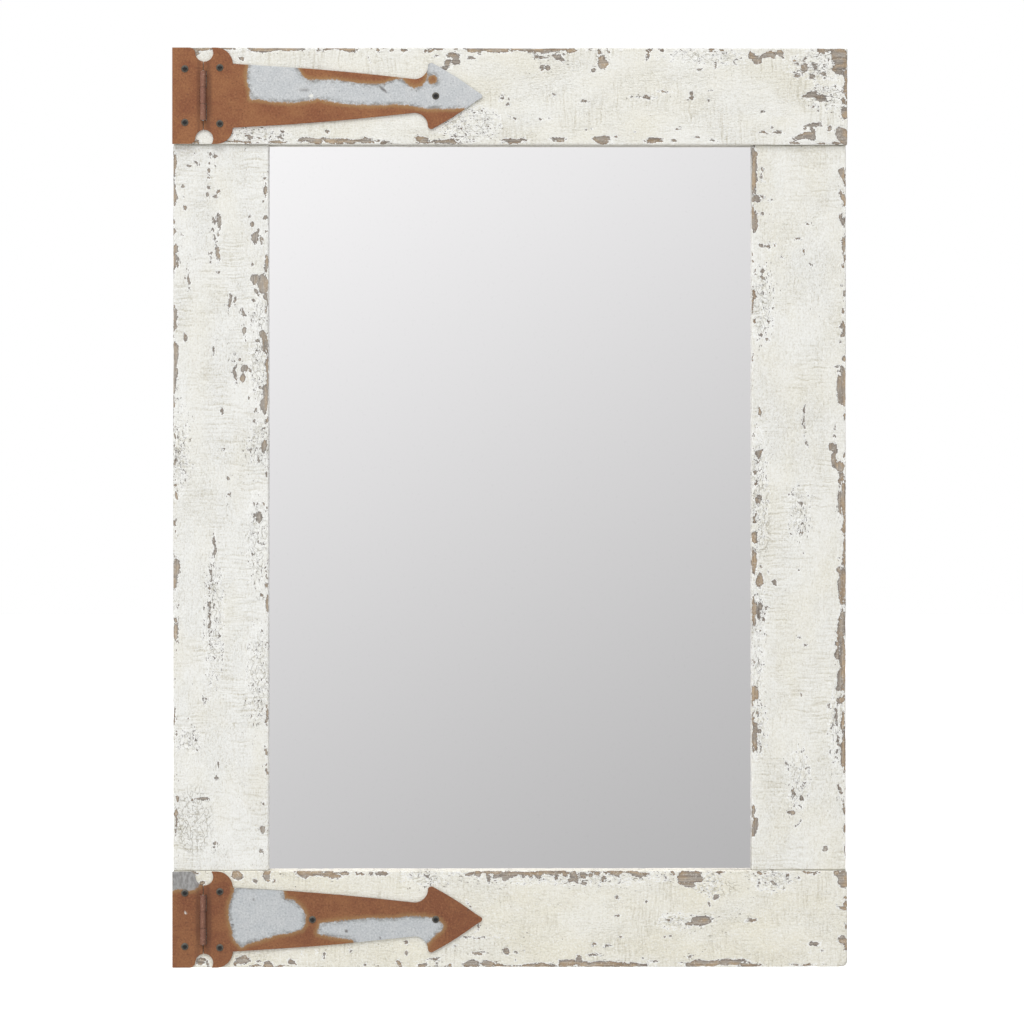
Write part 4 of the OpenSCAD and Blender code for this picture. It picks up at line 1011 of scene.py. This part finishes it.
def dowel_tool():
    """The dowels, a little thicker."""
    bm = node_copy("frame_dowels")
    bm.normal_update()
    for vert in bm.verts:
        vert.co += DOWEL_PLAY * vert.normal
    return add_object("bores", to_mesh(bm, "bores"))


def build_board(name, material):
    """A board with worn edges, a rough-sawn face and chipped paint, in place of its node."""
    board = Board(name)
    if name == "left_stile":
        board.low[0] -= FLUSH
    mesh = new_mesh(name + "_dressed", *board.surface())
    obj = new_piece(name + "_board", mesh, "whitewashed_wood", name)
    cut_away(obj, rebate_tool())
    cut_away(obj, dowel_tool())
    mesh = obj.data
    mesh.materials.clear()
    mesh.materials.append(material)
    mesh.shade_smooth()
    board.tell_material(mesh)


# ---------- Hinges ----------

HINGE_STEP = 1.3 * MM
HINGE_BEVEL = 0.45 * MM
HINGE_FRONT = FRONT_Y - 1.5 * MM
BEVELLED_ANGLE = math.radians(40)
SHARP_ANGLE = math.radians(38)
RIM_DEPTH = 0.3 * MM
# How near to the plates' front an edge lies that counts as one of its front edges.
FRONT_SKIN = 0.01 * MM
# How strongly the rim shows where it looks sideways, and the least and most where it looks down or up.
RIM_LEVEL = 0.5
RIM_RANGE = (0.2, 1.0)
# Distances in mm from a mark's ellipse where its edge starts and ends, and one that is surely outside.
MARK_EDGE = (0.5, -0.3)
SHADE_EDGE = (2.0, -1.0)
OUTSIDE = 9.0

# Where the hinges' zinc has stayed bright, and where rust has eaten into it: x, z in mm from the middle.
BRIGHT = {
    "top": [
        [
            (-236, 402), (-238, 392), (-237.5, 384), (-235.5, 377), (-235, 369), (-226.5, 368.7),
            (-212.5, 366.4), (-194.5, 366.4), (-185, 367.4), (-173.5, 369.6), (-166.5, 368), (-150, 365),
            (-136, 364), (-96.5, 364.3), (-77, 360.8), (-39.5, 360.8), (-15, 360), (-15, 385), (-60, 410),
            (-236, 405),
        ],
    ],
    "bottom": [
        [
            (-249, -343), (-251, -351), (-253.7, -358.4), (-254.6, -366.8), (-253.3, -375), (-249.5, -390.5),
            (-243, -397.7), (-239, -394.6), (-221, -389.3), (-210, -385.6), (-198.7, -384.2), (-189, -381.4),
            (-185.5, -376.5), (-184.8, -368), (-187.6, -362.6), (-196, -355), (-203.6, -353.5), (-206, -343),
        ],
        [
            (-174.4, -385), (-172.3, -375.8), (-164, -374.4), (-136, -371.6), (-105, -371), (-89.7, -369),
            (-69, -370.7), (-63.3, -373.7), (-60.2, -378.6), (-62, -382), (-67.5, -385.6), (-75.4, -394.6),
            (-78, -402), (-139.6, -402), (-139.6, -394), (-143, -390.5), (-164, -387.4),
        ],
        [
            (-306, -346), (-299, -344.5), (-290.5, -346), (-284, -344.5), (-281, -341), (-281, -320),
            (-306, -320),
        ],
    ],
}
RUSTED = {
    "top": [
        [
            (-193, 410), (-193, 400), (-190.5, 393.5), (-187, 388.7), (-182, 386.6), (-157, 386.6),
            (-135, 383.5), (-125, 382.7), (-114, 383.5), (-108, 386), (-97, 388), (-94.5, 383), (-91, 381),
            (-85.5, 379.2), (-80, 381.7), (-76.5, 385.2), (-75.4, 390), (-76.5, 410),
        ],
    ],
    "bottom": [],
}
RUST_SPOTS = {"top": [(-70.5, 387, 4.2, 4.2)], "bottom": []}
# Grey zinc, dark scratches and dots, drops of paint and painted shadow by the barrels, as ellipses like the
# chips.
MARKS = {
    "top": {
        "dull": [],
        "dark": [(-186, 377.5, 5, 0.6), (-115, 378, 4, 1, -40)],
        "fleck": [(-180, 372, 1.6, 1.6)],
        "shade": [(-273.1, 372, 2.8, 27), (-281.6, 372, 0.8, 26)],
    },
    "bottom": {
        "dull": [(-294, -334, 14, 16)],
        "dark": [
            (-231.7, -354, 0.8, 0.8), (-251, -377, 1, 1), (-148.2, -382.8, 1.2, 1.2),
            (-230.3, -390.5, 0.8, 0.8), (-118, -389, 0.8, 0.8), (-35.5, -361, 4, 0.6, 50),
            (-30, -380.7, 4, 0.6, -50),
        ],
        "fleck": [(-293.6, -366, 0.9, 0.9)],
        "shade": [(-273.1, -372, 2.8, 27), (-282.3, -372, 1.6, 26)],
    },
}


def inside(x, z, outline):
    """How far inside an outline points are, in mm: below 0 outside it."""
    gap = np.full(x.shape, np.inf)
    odd = np.zeros(x.shape, bool)
    for (ax, az), (bx, bz) in zip(outline, outline[1:] + outline[:1]):
        span_x, span_z = bx - ax, bz - az
        share = np.clip(((x - ax) * span_x + (z - az) * span_z) / (span_x**2 + span_z**2), 0, 1)
        gap = np.minimum(gap, np.hypot(x - ax - share * span_x, z - az - share * span_z))
        odd ^= ((az > z) != (bz > z)) & (x < ax + (z - az) * span_x / (span_z or 1))
    return np.where(odd, gap, -gap)


def zinc_depth(x, z, which):
    """How far inside the bright zinc of the top or bottom hinge points are, in mm."""
    depth = np.max([inside(x, z, outline) for outline in BRIGHT[which]], axis=0)
    for outline in RUSTED[which]:
        depth = np.minimum(depth, -inside(x, z, outline))
    for spot in RUST_SPOTS[which]:
        depth = np.minimum(depth, blob_distance(x, z, spot))
    return depth


def split_across(bm, axis, low, high, step):
    """Splits faces step apart along an axis."""
    normal = [0, 0, 0]
    normal[axis] = 1
    for place in np.arange(low + step, high - step / 2, step):
        point = [0, 0, 0]
        point[axis] = place
        whole = bm.verts[:] + bm.edges[:] + bm.faces[:]
        bmesh.ops.bisect_plane(bm, geom=whole, dist=1e-6, plane_co=point, plane_no=normal)


def plate_mesh(name, step):
    """A copy of a plate's mesh, with its front edges eased and its faces split step apart along x and z."""
    bm = node_copy(name)
    join_flat_faces(bm)
    rim = [
        edge
        for edge in bm.edges
        if len(edge.link_faces) == 2
        and all(abs(vert.co.y - HINGE_FRONT) < FRONT_SKIN for vert in edge.verts)
        and edge.calc_face_angle() > BEVELLED_ANGLE
    ]
    ease(bm, rim, HINGE_BEVEL)
    low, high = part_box(name)
    for axis in (0, 2):
        split_across(bm, axis, low[axis], high[axis], step)
    for edge in bm.edges:
        edge.smooth = len(edge.link_faces) != 2 or edge.calc_face_angle() < SHARP_ANGLE
    for face in bm.faces:
        face.smooth = True
    return to_mesh(bm, name + "_dressed")


def build_hinge(which, material):
    """The butt leaf and strap of the top or bottom hinge, rusted and marked."""
    for part in ("leaf", "strap"):
        name = f"{which}_hinge_{part}"
        mesh = plate_mesh(name, HINGE_STEP * (1))
        points = coordinates(mesh)
        x, z = from_middle(points)
        store(mesh, "zinc", zinc_depth(x, z, which))
        for mark, blobs in MARKS[which].items():
            gap = np.min([np.full(x.shape, OUTSIDE)] + [blob_distance(x, z, blob) for blob in blobs], axis=0)
            store(mesh, mark, fade(gap, *(SHADE_EDGE if mark == "shade" else MARK_EDGE)))
        normals = np.array([vertex.normal for vertex in mesh.vertices])
        rim = fade(points[:, 1], HINGE_FRONT, HINGE_FRONT + RIM_DEPTH)
        store(mesh, "rim", rim * np.clip(RIM_LEVEL + normals[:, 2], *RIM_RANGE))
        store(mesh, "lower_hinge", np.full(x.shape, float(which == "bottom")))
        new_piece(f"{which}_{part}_plate", mesh, "hinge_steel", name, material)


# ---------- Everything else ----------

GLASS_ARRIS = 0.4 * MM
# A face whose normal's y is more than this looks straight forward or back.
FACING = 0.99


def build_mirror(silver, edge, backing):
    """The glass with arrised edges: silver in front, ground edges, paint behind."""
    bm = node_copy("mirror_glass")
    join_flat_faces(bm)
    ease(bm, bm.edges[:], GLASS_ARRIS)
    for face in bm.faces:
        face.material_index = 1 if abs(face.normal.y) < FACING else (0 if face.normal.y < 0 else 2)
    mesh = to_mesh(bm, "mirror_dressed")
    new_piece("mirror_pane", mesh, "mirror_silver", "mirror_glass", silver, edge, backing)


def dress(names, material):
    """Gives CAD nodes a material."""
    for name in names:
        slots = nodes[name].data.materials
        slots.clear()
        slots.append(material)


# ---------- Stage ----------

FLOOR_DROP = 0.45
FLOOR_RADIUS = 25.0
FLOOR_SIDES = 64
FLOOR_TONE = (0.8, 0.8, 0.8)
# How the floor glows from near the object outwards, where its part in front of the object starts, and how
# much of the glow the mirror sees there.
FLOOR_GLOW = {"start": 1.3, "end": 2.6, "low": 0.25}
FLOOR_FRONT = (-0.2, -0.9)
FLOOR_MIRRORED = 0.1
AMBIENT = 0.36
WHITE = (1, 1, 1)

# The card's middle tone as a share of white on screen, its change for each metre across and up, and how many
# metres from its middle that change eases off.
CARD_Y = -4.0
CARD_SIZE = (14.0, 7.0)
CARD_TONE = 0.852
CARD_SLOPE = (-0.081, 0.134)
CARD_EASE = 3.0
SCREEN_GAMMA = 2.2


def add_stage(name, points, material, place):
    """A flat stage object with the given corners."""
    mesh = new_mesh(name, points, [range(len(points))])
    mesh.materials.append(material)
    stage = add_object(name, mesh, place)
    return stage


def add_floor():
    """Pale round floor. Where it is seen it glows, little round the object, so that the shadow stays, and up
    to white further out. The mirror sees only its plain colour in front of the object."""
    g = Graph("floor")
    place = g.add("TexCoord", {}, "Object")
    away = g.add("VectorMath", {0: place}, "Value", operation="LENGTH")
    in_front = g.fade(g.split(place)[1], *FLOOR_FRONT)
    gloss = g.fade(in_front, 0, 1, 1.0, FLOOR_MIRRORED)
    glow = g.times(g.seen(gloss), g.fade(away, **FLOOR_GLOW))
    inputs = {"Base Color": FLOOR_TONE, "Roughness": 0.9, "Emission Color": WHITE, "Emission Strength": glow}
    g.put_all(g.shader, inputs)
    turns = np.linspace(0, 2 * math.pi, FLOOR_SIDES, endpoint=False)
    rim = [(FLOOR_RADIUS * math.cos(turn), FLOOR_RADIUS * math.sin(turn), 0) for turn in turns]
    add_stage("floor", rim, g.owner, (MID_X, FRONT_Y, BOTTOM_LOW.z - FLOOR_DROP))


def add_card():
    """Grey card behind the camera, lighter at the upper left, which only the mirror and the metal see."""
    g = Graph("card")
    g.nodes.remove(g.shader)
    x, _, z = g.split(g.add("TexCoord", {}, "Object"))
    slope = g.weighted((x, CARD_SLOPE[0]), (z, CARD_SLOPE[1]))
    reach = g.weighted((x, x), (z, z))
    easing = g.math("EXPONENT", g.times(reach, -1 / CARD_EASE**2))
    tone = g.math("POWER", g.plus(g.times(slope, easing), CARD_TONE), SCREEN_GAMMA)
    g.put(g.nodes["Material Output"].inputs["Surface"], g.add("Emission", {"Color": WHITE, "Strength": tone}))
    half_w, half_h = CARD_SIZE[0] / 2, CARD_SIZE[1] / 2
    corners = [(-half_w, 0, -half_h), (half_w, 0, -half_h), (half_w, 0, half_h), (-half_w, 0, half_h)]
    card = add_stage("card", corners, g.owner, (MID_X, CARD_Y, MID_Z))
    for ray in ("camera", "diffuse", "shadow", "transmission"):
        setattr(card, "visible_" + ray, False)


def add_world():
    """White where it is seen, and a plain grey light on the object."""
    g = Graph("studio", "worlds")
    bpy.context.scene.world = g.owner
    strength = g.add("MapRange", {"Value": g.seen(1.0), "To Min": AMBIENT, "To Max": 1.0})
    g.put_all(g.nodes["Background"], {"Strength": strength, "Color": WHITE})


# ---------- Making ----------

add_camera()
bpy.context.scene.view_settings.view_transform = "Standard"

wood = whitewashed_wood()
steel = hinge_steel()
for name in BOARDS:
    build_board(name, wood)
build_hinge("top", steel)
build_hinge("bottom", steel)
build_mirror(mirror_silver(), glass_edge(), mirror_paint())
dress(["back_panel"], hardboard())
dress(["packing_card"], packing_card())
dress(["frame_dowels"], dowel_wood())
dress(["top_hinge_pin", "bottom_hinge_pin"], steel)
dress(["top_hinge_screws", "bottom_hinge_screws", "panel_screws"], black_screw())
hanger_nodes = [f"{side}_hanger_{part}" for side in ("left", "right") for part in ("strap", "ring", "screws")]
dress(hanger_nodes + ["bumper_screws"], zinc_steel())
dress(["left_bumper", "right_bumper"], bumper_rubber())

add_floor()
add_card()
add_world()
for name, facts in LAMPS.items():
    add_lamp(name, *facts)
